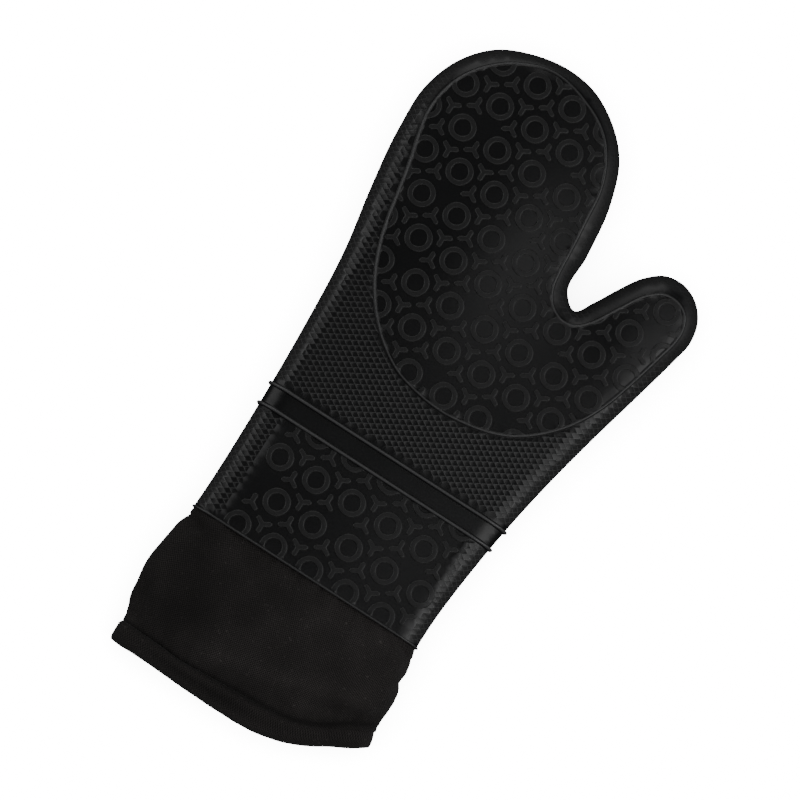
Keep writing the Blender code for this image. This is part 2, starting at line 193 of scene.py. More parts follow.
def profile(knots, distance):
    """Share of the height at a distance from a raised shape's edge or middle line."""
    where, share = np.array(knots, float).T
    return np.interp(distance, where, share)


def smooth_loop(points, step):
    """A smooth closed curve through the points: places an even step apart, and outward normals."""
    around = np.array(points[-2:] + points + points[:3], float)
    place = np.concatenate([[0.0], np.cumsum(np.hypot(*np.diff(around, axis=0).T))])
    fine = np.linspace(place[2], place[-3], DENSE_POINTS)
    dense = np.stack([hermite(np.column_stack([place, around[:, k]]), fine) for k in (0, 1)], 1)
    length = np.concatenate([[0.0], np.cumsum(np.hypot(*np.diff(dense, axis=0).T))])
    count = int(round(length[-1] / step))
    wanted = np.arange(count) * length[-1] / count
    places = np.stack([np.interp(wanted, length, dense[:, k]) for k in (0, 1)], 1)
    return places, normals_of(places)


def normals_of(places):
    """Outward normals of a counter-clockwise closed run of places."""
    tangent = np.roll(places, -1, 0) - np.roll(places, 1, 0)
    tangent /= np.hypot(*tangent.T)[:, None]
    return np.stack([tangent[:, 1], -tangent[:, 0]], 1)


def nearest(points, curve):
    """Signed distance of points outwards from a closed curve, and the curve's normal there."""
    places, normals = curve
    size = (places ** 2).sum(1)
    index = np.concatenate([np.argmin(size - 2 * part @ places.T, axis=1)
                            for part in np.array_split(points, len(points) // PART_SIZE + 1)])
    outward = normals[index]
    return ((points - places[index]) * outward).sum(1), outward


OUTLINE_CURVE = smooth_loop(OUTLINE, CURVE_STEP)
BORDER_CURVE = smooth_loop(BORDER, CURVE_STEP)


def top_height(x, y):
    """Height of the outer surface over the flat of the mitt."""
    height = hermite(TOP_HEIGHTS, y)
    for centre_x, centre_y, rise, width_x, width_y in SWELLS:
        height = height + rise * np.exp(-((x - centre_x) / width_x) ** 2 - ((y - centre_y) / width_y) ** 2)
    return height


def on_mitt(plan, depth, outward, inset, side, lift):
    """Places on the mitt's top (side 1) or bottom (side -1), an inset in and a lift off that.

    plan: the places seen from above; depth: how far they lie in from the outline; outward: the
    outline's normal there.
    """
    x, y = plan.T
    mid = hermite(MID_HEIGHTS, y)
    radius = hermite(SIDE_RADII, y) - inset
    rise = (top_height(x, y) if side > 0 else 2 * mid) - inset - mid
    cosine = 1 - np.clip((depth - inset) / radius, 0, 1)
    sine = np.sqrt(1 - cosine ** 2)
    normal = np.column_stack([outward * (cosine / radius)[:, None], side * sine / rise])
    normal /= np.linalg.norm(normal, axis=1)[:, None]
    place = np.column_stack([plan, mid + side * rise * sine])
    return place + normal * np.asarray(lift)[:, None]


def thumb_offset(points):
    """How far points lie past the thumb line, towards the thumb's tip."""
    return ((points[:, 0] - CROTCH_X) * -math.sin(THUMB_LINE_ANGLE)
            + (points[:, 1] - KNUCKLE_Y) * math.cos(THUMB_LINE_ANGLE))


# ---- The moulded relief, seen from above ----
def lattice(studs, low, high):
    """Ring middles, and star middles with the direction of an arm, that lie in a box.

    Every second star is left out of every second row.
    """
    start, ring_step, row_step = (np.array(studs[key]) for key in ("start", "ring_step", "row_step"))
    rings, stars = [], []
    for row in range(-LATTICE_REACH, LATTICE_REACH + 1):
        for column in range(-LATTICE_REACH, LATTICE_REACH + 1):
            ring = start + ring_step * (column + (row % 2) / 2) + row_step * row
            rings.append(tuple(ring))
            stars.append((*(ring - ring_step / 2 + row_step / 3), math.pi / 2))
            if row % 2 != studs["gap_rows"] or column % 2:
                stars.append((*(ring - ring_step / 2 - row_step / 3), -math.pi / 2))
    return [[shape for shape in shapes if low[0] < shape[0] < high[0] and low[1] < shape[1] < high[1]]
            for shapes in (rings, stars)]


def star_arms(turn):
    """Unit directions of a star's three arms."""
    return [(math.cos(turn + k * 2 * math.pi / 3), math.sin(turn + k * 2 * math.pi / 3)) for k in range(3)]


def panel_depth(points, panel):
    """How far points lie outside the palm's or the sleeve's studded panel; negative inside.

    The sleeve's studs are cut off by the rib and by the sleeve's edge, but not at the sides.
    """
    if panel == "palm":
        return nearest(points, BORDER_CURVE)[0]
    low, high = SLEEVE_PANEL[2:]
    return np.maximum(low - points[:, 1], points[:, 1] - high)


def ring_edge(points, ring):
    """Distance outside a ring's edge; negative on the ring."""
    return np.abs(np.hypot(points[:, 0] - ring[0], points[:, 1] - ring[1]) - RING_RADIUS) - RING_HALF_WIDTH


def star_edge(points, star):
    """Distance outside a star's edge; negative on the star."""
    away = points - np.array(star[:2])
    best = np.full(len(points), np.inf)
    for direction in star_arms(star[2]):
        along = np.clip(away @ np.array(direction), 0, STAR_ARM)
        best = np.minimum(best, np.hypot(*(away - along[:, None] * np.array(direction)).T))
    return best - STAR_HALF_WIDTH


def ring_loops(ring):
    """Closed loops of places along a ring's two walls."""
    loops = []
    for distance, _ in STUD_PROFILE:
        for radius, count in ((RING_RADIUS + RING_HALF_WIDTH + distance, RING_SIDES[0]),
                              (RING_RADIUS - RING_HALF_WIDTH - distance, RING_SIDES[1])):
            angle = np.arange(count) * 2 * math.pi / count
            loops.append(np.array(ring) + radius * np.column_stack([np.cos(angle), np.sin(angle)]))
    return loops


def star_loops(star):
    """Closed loops of places along a star's walls."""
    loops = []
    for distance, _ in STUD_PROFILE:
        radius = STAR_HALF_WIDTH + distance
        places = []
        for arm in range(3):
            facing = star[2] + arm * 2 * math.pi / 3
            notch = facing - math.pi / 3
            places.append((radius / math.sin(math.pi / 3) * math.cos(notch),
                           radius / math.sin(math.pi / 3) * math.sin(notch)))
            for turn in np.linspace(-math.pi / 2, math.pi / 2, STAR_TIP_POINTS):
                places.append((STAR_ARM * math.cos(facing) + radius * math.cos(facing + turn),
                               STAR_ARM * math.sin(facing) + radius * math.sin(facing + turn)))
        loops.append(np.array(places) + np.array(star[:2]))
    return loops


def hatch_normals():
    """Unit normals of the two families of fine ridges."""
    return [np.array((-math.sin(HATCH_ANGLE) * side, math.cos(HATCH_ANGLE))) for side in (1, -1)]


def ridge_share(points):
    """Share of their height that the fine ridges have at places seen from above."""
    share = np.zeros(len(points))
    for normal in hatch_normals():
        place = points @ normal / HATCH_PITCH
        away = np.abs(place - np.round(place)) * HATCH_PITCH
        share = np.maximum(share, 1 - away / HATCH_HALF_WIDTH)
    return share


def beside_panel(y):
    """Which y have fine ridges beside the sleeve's studded panel."""
    low, high = SLEEVE_PANEL[2:]
    return (y > low + PANEL_CLEAR[2]) & (y < high - PANEL_CLEAR[3])


def hatched(points):
    """Where the mesh holds the crossed fine ridges, seen from above."""
    x, y = points.T
    depth = -nearest(points, OUTLINE_CURVE)[0]
    outside = nearest(points, BORDER_CURVE)[0]
    below_fade = y < np.where(x < 0, TIP_FADE[0], THUMB_FADE[0])
    hand = (y > HATCH_START_Y) & below_fade & (outside > np.where(y > NARROW_Y, NARROW_CLEAR, BORDER_CLEAR))
    past_panel = (x < SLEEVE_PANEL[0] - PANEL_CLEAR[0]) | (x > SLEEVE_PANEL[1] + PANEL_CLEAR[1])
    return (hand | (beside_panel(y) & past_panel)) & (depth > BAND_DEPTH + BAND_CLEAR)


class Relief:
    """The raised shapes of one face of the shell, and the mesh points that draw them."""

    def __init__(self):
        self.studs = {}
        left, right, low, high = SLEEVE_PANEL
        reach = RING_RADIUS + RING_HALF_WIDTH
        for panel, studs, corners in (("palm", PALM_STUDS, PALM_BOX),
                                      ("sleeve", SLEEVE_STUDS, ((left, low - reach), (right, high + reach)))):
            rings, stars = lattice(studs, *corners)
            ring_depth = panel_depth(np.array(rings), panel)
            star_depth = panel_depth(np.array(stars)[:, :2], panel)
            self.studs[panel] = ([ring for ring, d in zip(rings, ring_depth) if d < reach],
                                 [star for star, d in zip(stars, star_depth) if d < STAR_ARM])

    def stud_edge(self, points):
        """Distance outside the nearest stud's edge, at places seen from above."""
        edge = np.full(len(points), np.inf)
        for panel, (rings, stars) in self.studs.items():
            inside = np.flatnonzero(panel_depth(points, panel) < 0)
            near = points[inside]
            best = np.full(len(near), np.inf)
            for shapes, distance in ((rings, ring_edge), (stars, star_edge)):
                for shape in shapes:
                    close = np.flatnonzero(np.abs(near - np.array(shape[:2])).max(1) < STUD_REACH)
                    best[close] = np.minimum(best[close], distance(near[close], shape))
            edge[inside] = np.minimum(edge[inside], best)
        return edge

    def height(self, points):
        """Height of the relief at places seen from above."""
        height = RELIEF * profile(STUD_PROFILE, self.stud_edge(points))
        border = np.abs(nearest(points, BORDER_CURVE)[0])
        height = np.maximum(height, BORDER_HEIGHT * profile(BORDER_PROFILE, border))
        height = np.maximum(height, across_relief(points[:, 1]))
        return np.maximum(height, HATCH_HEIGHT * ridge_share(points) * hatched(points))

    def finish(self, points):
        """How much of a stud's matt finish places have, and how much painted highlight lies along the crests
        and fine ridges.
        """
        edge = self.stud_edge(points)
        border = np.abs(nearest(points, BORDER_CURVE)[0])
        painted_highlight = np.maximum(profile(STUD_HIGHLIGHT, edge), profile(BORDER_HIGHLIGHT, border))
        painted_highlight = np.maximum(painted_highlight, profile(LIP_HIGHLIGHT, points[:, 1] - SLEEVE_EDGE_Y))
        for rib in RIBS:
            painted_highlight = np.maximum(painted_highlight, profile(RIB_HIGHLIGHT, np.abs(points[:, 1] - rib)))
        hatch = (GROUND_HIGHLIGHT + (HATCH_HIGHLIGHT - GROUND_HIGHLIGHT) * ridge_share(points)) * hatched(points)
        return profile(STUD_PROFILE, edge), np.maximum(painted_highlight, hatch)


def across_relief(y):
    """Height of the shapes that run right round the sleeve: two ribs, and the bead at its edge."""
    height = LIP_HEIGHT * profile(LIP_PROFILE, y - SLEEVE_EDGE_Y)
    for rib in RIBS:
        height = np.maximum(height, RIB_HEIGHT * profile(RIB_PROFILE, np.abs(y - rib)))
    return height


def across_lines():
    """The y of each line of mesh points that draws the ribs and the edge's bead."""
    lines = [SLEEVE_EDGE_Y + distance for distance, _ in LIP_PROFILE[1:]]
    for rib in RIBS:
        lines += [rib + side * distance for distance, _ in RIB_PROFILE[1:] for side in (-1, 1)] + [rib]
    return sorted(lines)


class PlanMesh:
    """Points and edges, seen from above, that a triangulation has to hold."""

    def __init__(self):
        self.points, self.edges, self.count = [], [], 0

    def add_run(self, places, keep=None, closed=False):
        """A line through places, broken where keep is False."""
        keep = np.ones(len(places), bool) if keep is None else keep
        number = np.where(keep, np.cumsum(keep) - 1 + self.count, -1)
        self.points.append(places[keep])
        self.count += int(keep.sum())
        following = np.roll(number, -1)
        pairs = np.column_stack([number, following])[:None if closed else -1]
        self.edges += [tuple(pair) for pair in pairs[(pairs >= 0).all(1)]]

    def add_points(self, places):
        """Loose places."""
        self.points.append(places)
        self.count += len(places)

    def add_net(self, places, keep):
        """A net of places in rows and columns, joined to their neighbours where keep is True."""
        number = np.where(keep, np.cumsum(keep).reshape(keep.shape) - 1 + self.count, -1)
        self.points.append(places[keep])
        self.count += int(keep.sum())
        for start, end in ((number[:-1], number[1:]), (number[:, :-1], number[:, 1:])):
            pairs = np.column_stack([start.ravel(), end.ravel()])
            self.edges += [tuple(pair) for pair in pairs[(pairs >= 0).all(1)]]


def silicone_plan(columns, cuts, relief):
    """The plan mesh of one face of the shell, inside the band round the sides."""
    plan = PlanMesh()
    rim = columns[0] - columns[1] * BAND_DEPTH
    plan.add_run(rim)
    for y in across_lines() + [SLEEVE_EDGE_Y]:
        right = np.interp(y, *rim[:SIDE_REACH].T[::-1])
        left = np.interp(y, *rim[:-SIDE_REACH:-1].T[::-1])
        plan.add_run(np.column_stack([np.linspace(left, right, ACROSS_POINTS), np.full(ACROSS_POINTS, y)]))
    curve = smooth_loop(BORDER, BORDER_STEP)
    for distance, _ in BORDER_PROFILE:
        for side in ((1, -1) if distance else (1,)):
            plan.add_run(curve[0] + curve[1] * distance * side, closed=True)
    for panel, (rings, stars) in relief.studs.items():
        margin = PALM_MARGIN if panel == "palm" else SLEEVE_MARGIN
        for shapes, loops in ((rings, ring_loops), (stars, star_loops)):
            for shape in shapes:
                for loop in loops(shape):
                    plan.add_run(loop, panel_depth(loop, panel) < -margin, closed=True)
    plan.add_net(*hatch_net())
    plan.add_run(np.linspace(rim[cuts[0]], rim[cuts[1]], CUT_POINTS))
    plan.add_points(filling(plan))
    return plan


def hatch_net():
    """Places where the fine ridges' feet and crests cross, in rows and columns, and which are wanted."""
    reach = int(HATCH_REACH / HATCH_PITCH)
    crest = HATCH_PITCH * np.arange(-reach, reach + 1)
    lines = np.sort(np.concatenate([crest - HATCH_HALF_WIDTH, crest, crest + HATCH_HALF_WIDTH]))
    along_one, along_two = np.meshgrid(lines, lines, indexing="ij")
    net = np.stack([(along_two - along_one) / (2 * math.sin(HATCH_ANGLE)),
                    (along_one + along_two) / (2 * math.cos(HATCH_ANGLE))], 2)
    keep = (np.abs(net[..., 0]) < HALF_WIDTH) & (net[..., 1] > SLEEVE_EDGE_Y) & (net[..., 1] < TIP_Y)
    keep[keep] = hatched(net[keep])
    return net, keep


def filling(plan):
    """Evenly spread places in the free room between the points of a plan mesh."""
    taken = np.vstack(plan.points)
    grid = np.array([(x + (k % 2) * FILL_STEP / 2, y)
                     for k, y in enumerate(np.arange(SLEEVE_EDGE_Y, TIP_Y, FILL_STEP * FILL_ROW))
                     for x in np.arange(-HALF_WIDTH, HALF_WIDTH, FILL_STEP)])
    depth = -nearest(grid, OUTLINE_CURVE)[0]
    grid = grid[(depth > BAND_DEPTH + FILL_STEP / 2) & (grid[:, 1] > SLEEVE_EDGE_Y + 2)]
    cell = {}
    for place in taken:
        cell.setdefault((int(place[0] // FILL_STEP), int(place[1] // FILL_STEP)), []).append(place)
    free = []
    for place in grid:
        column, row = int(place[0] // FILL_STEP), int(place[1] // FILL_STEP)
        around = [p for i in (-1, 0, 1) for j in (-1, 0, 1) for p in cell.get((column + i, row + j), [])]
        if not around or np.hypot(*(np.array(around) - place).T).min() > FILL_STEP * FILL_CLEAR:
            free.append(place)
    return np.array(free)


# ---- Skins: one surface of the hand, from the sleeve's edge round the thumb and fingers ----
def side_columns(step, low, lines=()):
    """Places and outward normals round the hand's outline above y = low, and the two cut columns.

    The cuts are where the thumb's pieces part from the rest: below the thumb and in the crotch.
    """
    places, _ = OUTLINE_CURVE
    start = max(int(np.argmax(places[:, 1] >= low)) - 1, 0)
    end = np.flatnonzero((places[:, 1] < low) & (places[:, 0] < 0))[0]
    run = places[start:end + 1]
    if run[0, 1] >= low:
        run = np.vstack([places[-1:], run])
    length = np.concatenate([[0.0], np.cumsum(np.hypot(*np.diff(run, axis=0).T))])
    x, y = run.T
    rising = np.flatnonzero((y < STRAIGHT_Y) & (x > 0) & (length < length[-1] / 3))
    falling = np.flatnonzero((y < STRAIGHT_Y) & (x <= 0))[::-1]

    def length_at(wanted_y, side):
        return np.interp(wanted_y, y[side], length[side])

    left, right, bottom, top = CROTCH_BOX
    crotch = np.flatnonzero((x > left) & (x < right) & (y > bottom) & (y < top))
    below_thumb = length[rising[np.argmin(np.abs(thumb_offset(run[rising])))]]
    in_crotch = length[crotch[np.argmin(run[crotch, 1])]]
    fixed = [length_at(low, rising), length_at(low, falling), below_thumb, in_crotch]
    fixed += [length_at(line, side) for line in lines for side in (rising, falling)]
    even = np.linspace(fixed[0], fixed[1], int((fixed[1] - fixed[0]) / step))
    even = even[np.abs(even[:, None] - np.array(fixed)).min(1) > step * COLUMN_CLEAR]
    wanted = np.sort(np.concatenate([even, fixed]))
    columns = np.stack([np.interp(wanted, length, run[:, k]) for k in (0, 1)], 1)
    outward = normals_of(OUTLINE_CURVE[0])[nearest_index(columns, OUTLINE_CURVE[0])]
    level = np.clip((LEVEL_START_Y - columns[:, 1]) / LEVEL_RUN, 0, 1)[:, None]
    sideways = np.column_stack([np.sign(columns[:, 0]), np.zeros(len(columns))])
    outward = outward * (1 - level) + sideways * level
    outward /= np.hypot(*outward.T)[:, None]
    cuts = (int(np.argmin(np.abs(wanted - below_thumb))), int(np.argmin(np.abs(wanted - in_crotch))))
    return (columns, outward), cuts


def nearest_index(points, places):
    """Index of the place nearest to each point."""
    return np.array([np.argmin(((places - point) ** 2).sum(1)) for point in points])


class Skin:
    """One surface of the hand: places, unrolled plan places, faces pointing out and which are the thumb's.

    The first side_count places are the rows round the sides.
    """

    def __init__(self, places, unrolled, faces, thumb, side_count):
        self.places, self.unrolled = places, unrolled
        self.faces, self.thumb, self.side_count = faces, thumb, side_count


def skin(columns, cuts, plan, inset, band_depth, row_count, lift_flat=None, lift_side=None):
    """Top, bottom and sides of the hand at an inset.

    lift_flat gives the lift at plan places on a side, lift_side at a y and a turn round the sides.
    """
    places, outward = columns
    count = len(places)
    radius = SIDE_RADIUS - inset
    last_angle = math.acos(1 - (band_depth - inset) / radius)
    angles = last_angle * np.arange(1, row_count + 1) / row_count
    unrolled, faces, thumb = [], [], []

    def row(angle, side):
        depth = inset + radius * (1 - math.cos(angle))
        flat = places - outward * depth
        lift = lift_side(flat[:, 1], side * angle / last_angle) if lift_side else np.zeros(count)
        unrolled.append(places - outward * (band_depth - (last_angle - angle) * radius))
        return on_mitt(flat, np.full(count, depth), outward, inset, side, lift)

    rows = [row(angle, -1) for angle in angles[::-1]] + [row(0.0, 1)] + [row(angle, 1) for angle in angles]
    vertices = list(rows)
    in_thumb = (np.arange(count - 1) >= cuts[0]) & (np.arange(count - 1) < cuts[1])
    for level in range(len(rows) - 1):
        low, high = level * count, (level + 1) * count
        for i in range(count - 1):
            faces.append((low + i, low + i + 1, high + i + 1, high + i))
            thumb.append(bool(in_thumb[i]))
    rim = places - outward * band_depth
    corner_one, corner_two = rim[cuts[0]], rim[cuts[1]]
    flat, _, triangles, origins, _, _ = delaunay_2d_cdt(
        [tuple(p) for p in np.vstack(plan.points)], plan.edges, [list(range(count))], 1, 1e-4)
    flat = np.array([tuple(p) for p in flat])
    depth, facing = nearest(flat, OUTLINE_CURVE)
    depth = np.maximum(-depth, band_depth)
    own = np.array([min([k for k in origin if k < count], default=-1) for origin in origins])
    cut = corner_two - corner_one
    for side, ring in ((1, (len(rows) - 1) * count), (-1, 0)):
        lift = lift_flat(flat, side) if lift_flat else np.zeros(len(flat))
        base = sum(len(part) for part in vertices)
        vertices.append(on_mitt(flat, depth, facing, inset, side, lift))
        unrolled.append(flat)
        number = np.where(own >= 0, ring + own, base + np.arange(len(flat)))
        for triangle in triangles:
            a, b, c = (int(number[k]) for k in triangle)
            faces.append((a, b, c) if side > 0 else (c, b, a))
            middle = flat[triangle].mean(0)
            across = cut[0] * (middle[1] - corner_one[1]) - cut[1] * (middle[0] - corner_one[0])
            thumb.append(bool(across < 0 and middle[0] > corner_two[0]))
    return Skin(np.vstack(vertices), np.vstack(unrolled), faces, np.array(thumb), len(rows) * count)


def plain_plan(columns, cuts, band_depth, low, step):
    """A plan mesh with nothing on it, for the faces that are inside."""
    plan = PlanMesh()
    places, outward = columns
    rim = places - outward * band_depth
    plan.add_run(rim)
    plan.add_run(np.linspace(rim[cuts[0]], rim[cuts[1]], CUT_POINTS // 2))
    count = int((rim[0, 0] - rim[-1, 0]) / step)
    plan.add_run(np.column_stack([np.linspace(rim[-1, 0], rim[0, 0], count), np.full(count, low)]))
    grid = np.array([(x, y) for y in np.arange(low + step, TIP_Y, step)
                     for x in np.arange(-HALF_WIDTH, HALF_WIDTH, step)])
    depth = -nearest(grid, OUTLINE_CURVE)[0]
    plan.add_points(grid[depth > band_depth + step / 2])
    return plan


# ---- Meshes and objects ----
def new_object(name, places, faces, material):
    """An object with a smooth mesh, from places in millimetres."""
    mesh = bpy.data.meshes.new(name)
    mesh.from_pydata((np.asarray(places) * MM).tolist(), [], faces)
    mesh.materials.append(material)
    mesh.shade_smooth()
    new = bpy.data.objects.new(name, mesh)
    bpy.context.scene.collection.objects.link(new)
    return new


def add_attribute(mesh, name, values):
    """A number or a vector for each vertex."""
    values = np.asarray(values, np.float32)
    if values.ndim == 1:
        mesh.attributes.new(name, "FLOAT", "POINT").data.foreach_set("value", values)
    else:
        mesh.attributes.new(name, "FLOAT_VECTOR", "POINT").data.foreach_set("vector", values.ravel())


def fix_normals(mesh):
    """Turns all the faces of a closed mesh outwards."""
    grid = bmesh.new()
    grid.from_mesh(mesh)
    bmesh.ops.recalc_face_normals(grid, faces=grid.faces)
    grid.to_mesh(mesh)
    grid.free()


def vertex_normals(places, faces):
    """Normals of places, from all the faces round each."""
    total = np.zeros_like(places)
    for size in {len(face) for face in faces}:
        group = np.array([face for face in faces if len(face) == size])
        last = group[:, -1] if size == 4 else group[:, 2]
        normal = np.cross(places[group[:, 2]] - places[group[:, 0]], places[last] - places[group[:, 1]])
        for corner in range(size):
            np.add.at(total, group[:, corner], normal)
    return total / np.maximum(np.linalg.norm(total, axis=1), 1e-9)[:, None]


def walled_piece(name, outer, inner, thumb, low, material):
    """A closed piece between two skins: the thumb's part of them, or the rest.

    The vertex normals come from the whole skins, so that the two pieces meet without a line.
    """
    places = np.vstack([outer.places, inner.places])
    normals = np.vstack([vertex_normals(outer.places, outer.faces),
                         -vertex_normals(inner.places, inner.faces)])
    shift = len(outer.places)
    faces = [face for face, mine in zip(outer.faces, outer.thumb == thumb) if mine]
    faces += [tuple(shift + k for k in face[::-1])
              for face, mine in zip(inner.faces, inner.thumb == thumb) if mine]
    used = np.unique(np.concatenate([np.array(face) for face in faces]))
    number = np.full(len(places), -1)
    number[used] = np.arange(len(used))
    faces = [tuple(int(number[k]) for k in face) for face in faces]
    places, normals = places[used], normals[used]
    new = new_object(name, places, faces, material)
    close_walls(new.data, low)
    corners = np.empty(len(new.data.loops), int)
    new.data.loops.foreach_get("vertex_index", corners)
    corner_normals = normals[corners]
    for polygon in new.data.polygons[len(faces):]:
        corner_normals[list(polygon.loop_indices)] = polygon.normal
    new.data.normals_split_custom_set(corner_normals.tolist())
    return new, used[used < shift]


def close_walls(mesh, low):
    """Fills the room between the two skins' open edges: at the low end, and at the thumb's cut."""
    grid = bmesh.new()
    grid.from_mesh(mesh)
    open_edges = [edge for edge in grid.edges if edge.is_boundary]
    at_end = [edge for edge in open_edges if all(abs(v.co.y / MM - low) < END_TOLERANCE for v in edge.verts)]
    at_cut = list(set(open_edges) - set(at_end))
    across_cut = (-math.sin(THUMB_LINE_ANGLE), math.cos(THUMB_LINE_ANGLE), 0)
    for edges, normal in ((at_end, (0, -1, 0)), (at_cut, across_cut)):
        if edges:
            bmesh.ops.triangle_fill(grid, use_beauty=True, edges=edges, normal=normal)
    grid.to_mesh(mesh)
    grid.free()


# ---- The hand: silicone shell and quilted liner ----
def shell_side_lift(y, turn):
    """Lift round the sides; turn is -1 at the bottom of the side rows, and 1 at their top."""
    lift = across_relief(y)
    return lift if turn >= 0 else np.minimum(lift, RIB_HEIGHT + (RIB_HEIGHT - RELIEF) * turn)


def side_finish(outer):
    """Where the sides' matt finish is, and how much of the fine ridges that only the material has."""
    x, y = outer.unrolled.T
    shown = ((y > HATCH_START_Y) | beside_panel(y)) & (np.arange(len(y)) < outer.side_count)
    ridges = np.interp(y, TIP_FADE, (1.0, FADED))
    ridges = np.where(x > 0, np.interp(y, THUMB_FADE, (1.0, FADED)), ridges)
    return shown.astype(float), shown * ridges


def make_shell(material):
    """The moulded shell, in two pieces: the thumb, and the rest."""
    relief = Relief()
    columns, cuts = side_columns(COLUMN_STEP, SLEEVE_EDGE_Y, across_lines())
    plan = silicone_plan(columns, cuts, relief)
    outer = skin(columns, cuts, plan, RELIEF, BAND_DEPTH, SIDE_ROWS,
                 lambda flat, side: np.minimum(relief.height(flat), RIB_HEIGHT if side > 0 else RELIEF),
                 shell_side_lift)
    columns, cuts = side_columns(INNER_COLUMN_STEP, SLEEVE_EDGE_Y)
    plan = plain_plan(columns, cuts, SIDE_RADIUS, SLEEVE_EDGE_Y, INNER_STEP)
    inner = skin(columns, cuts, plan, SHELL_INNER, SIDE_RADIUS, INNER_SIDE_ROWS)
    side, hatch = side_finish(outer)
    # matt finish of the studs, and the painted highlight along the crests and fine ridges
    matt, painted_highlight = relief.finish(outer.unrolled)
    matt[:outer.side_count] = 0
    pieces = []
    for name, thumb in (("shell_main", False), ("shell_thumb", True)):
        piece, used = walled_piece(name, outer, inner, thumb, SLEEVE_EDGE_Y, material)
        inside = np.zeros(len(piece.data.vertices) - len(used))
        flat = np.vstack([outer.unrolled[used], np.zeros((len(inside), 2))])
        add_attribute(piece.data, "hatch_place", np.column_stack([flat, np.zeros(len(flat))]))
        add_attribute(piece.data, "side", np.concatenate([side[used], inside]))
        add_attribute(piece.data, "hatch_amount", np.concatenate([hatch[used], inside]))
        add_attribute(piece.data, "raised", np.concatenate([matt[used], inside]))
        add_attribute(piece.data, "painted_highlight", np.concatenate([painted_highlight[used], inside]))
        pieces.append(piece)
    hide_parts("hand_shell", "knuckle_shell", "finger_shell")
    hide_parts("thumb_root_shell", "thumb_shell")
    return pieces


def bend_with_hand(main, thumb):
    """Bakes the placement of a layer's main piece and of its thumb into their meshes."""
    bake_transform(main)
    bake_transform(thumb)


# ---- Materials ----
def new_material(name, colour, roughness):
    """A material, its tree and its shader."""
    material = bpy.data.materials.new(name)
    material.use_nodes = True
    shader = material.node_tree.nodes["Principled BSDF"]
    shader.inputs["Base Color"].default_value = (*colour, 1.0)
    shader.inputs["Roughness"].default_value = roughness
    return material, material.node_tree, shader


def add_node(tree, kind, operation=None, inputs=(), **settings):
    """A node, with sockets linked or values set on its inputs in order or by name."""
    new = tree.nodes.new("ShaderNode" + kind)
    if operation:
        new.operation = operation
    for key, value in settings.items():
        setattr(new, key, value)
    for key, value in (inputs.items() if isinstance(inputs, dict) else enumerate(inputs)):
        if isinstance(value, bpy.types.NodeSocket):
            tree.links.new(value, new.inputs[key])
        elif value is not None:
            new.inputs[key].default_value = value
    return new


def between(tree, value, low, high, start=0.0, end=1.0):
    """The value, mapped from start..end to low..high."""
    return add_node(tree, "MapRange", inputs={"Value": value, "From Min": start, "From Max": end,
                                              "To Min": low, "To Max": high}).outputs["Result"]


def attribute(tree, name, output="Fac"):
    """A vertex attribute: a number, or a vector where the output is Vector."""
    return add_node(tree, "Attribute", attribute_name=name).outputs[output]


def cloudy(tree, place, scale, detail, output="Fac"):
    """Smooth noise from 0 to 1: a number, or three where the output is Color."""
    clouds = add_node(tree, "TexNoise", inputs={"Vector": place, "Scale": scale, "Detail": detail})
    return clouds.outputs[output]


def calculate(tree, operation, *values):
    """The result of an operation on numbers."""
    return add_node(tree, "Math", operation, values).outputs[0]


def mix(tree, factor, one, other, kind="FLOAT"):
    """A mix of two numbers, or of two colours where the kind is RGBA."""
    return add_node(tree, "Mix", data_type=kind,
                    inputs={"Factor": factor, "A": one, "B": other}).outputs["Result"]


def bump(tree, height, strength, distance, under=None):
    """Normals of a bumpy surface, on top of the normals of another bump under it."""
    return add_node(tree, "Bump", inputs={"Height": height, "Strength": strength, "Distance": distance,
                                          "Normal": under}).outputs["Normal"]


def fine_ridges(tree, place):
    """Height from 0 to 1 of the two crossed families of fine ridges."""
    heights = []
    for normal in hatch_normals():
        along = add_node(tree, "VectorMath", "DOT_PRODUCT", (place, (*(normal / HATCH_PITCH), 0.0)))
        step = calculate(tree, "PINGPONG", along.outputs["Value"], 0.5)
        heights.append(between(tree, step, 1.0, 0.0, 0.0, HATCH_HALF_WIDTH / HATCH_PITCH))
    return calculate(tree, "MAXIMUM", *heights)


FLAT_ROUGHNESS = (0.30, 0.42)
STUD_ROUGHNESS = (0.50, 0.60)
SIDE_ROUGHNESS = 0.76
FLAT_TONE = (0.0040, 0.0040, 0.0043, 1)
STUD_TONE = (0.0062, 0.0062, 0.0065, 1)
# tone of the painted highlight on crests and fine ridges; the sides' random speckle pales towards it too
PAINTED_HIGHLIGHT_TONE = (0.074, 0.074, 0.075, 1)
SIDE_SPECKLE = 0.12             # how much the sides' fine grain varies in tone
SPECKLE_SPAN = (0.35, 0.65)
SMEARS = (28.0, 4.0)            # scale and detail of the noise
SPECKLE = (1000.0, 2.0)
SKIN_GRAIN = (2600.0, 2.0)
RIDGE_BUMP = (0.25, HATCH_HEIGHT * MM)          # strength and height
SPECKLE_BUMP = (0.7, 0.25 * MM)
GRAIN_BUMP = (0.35, 0.03 * MM)


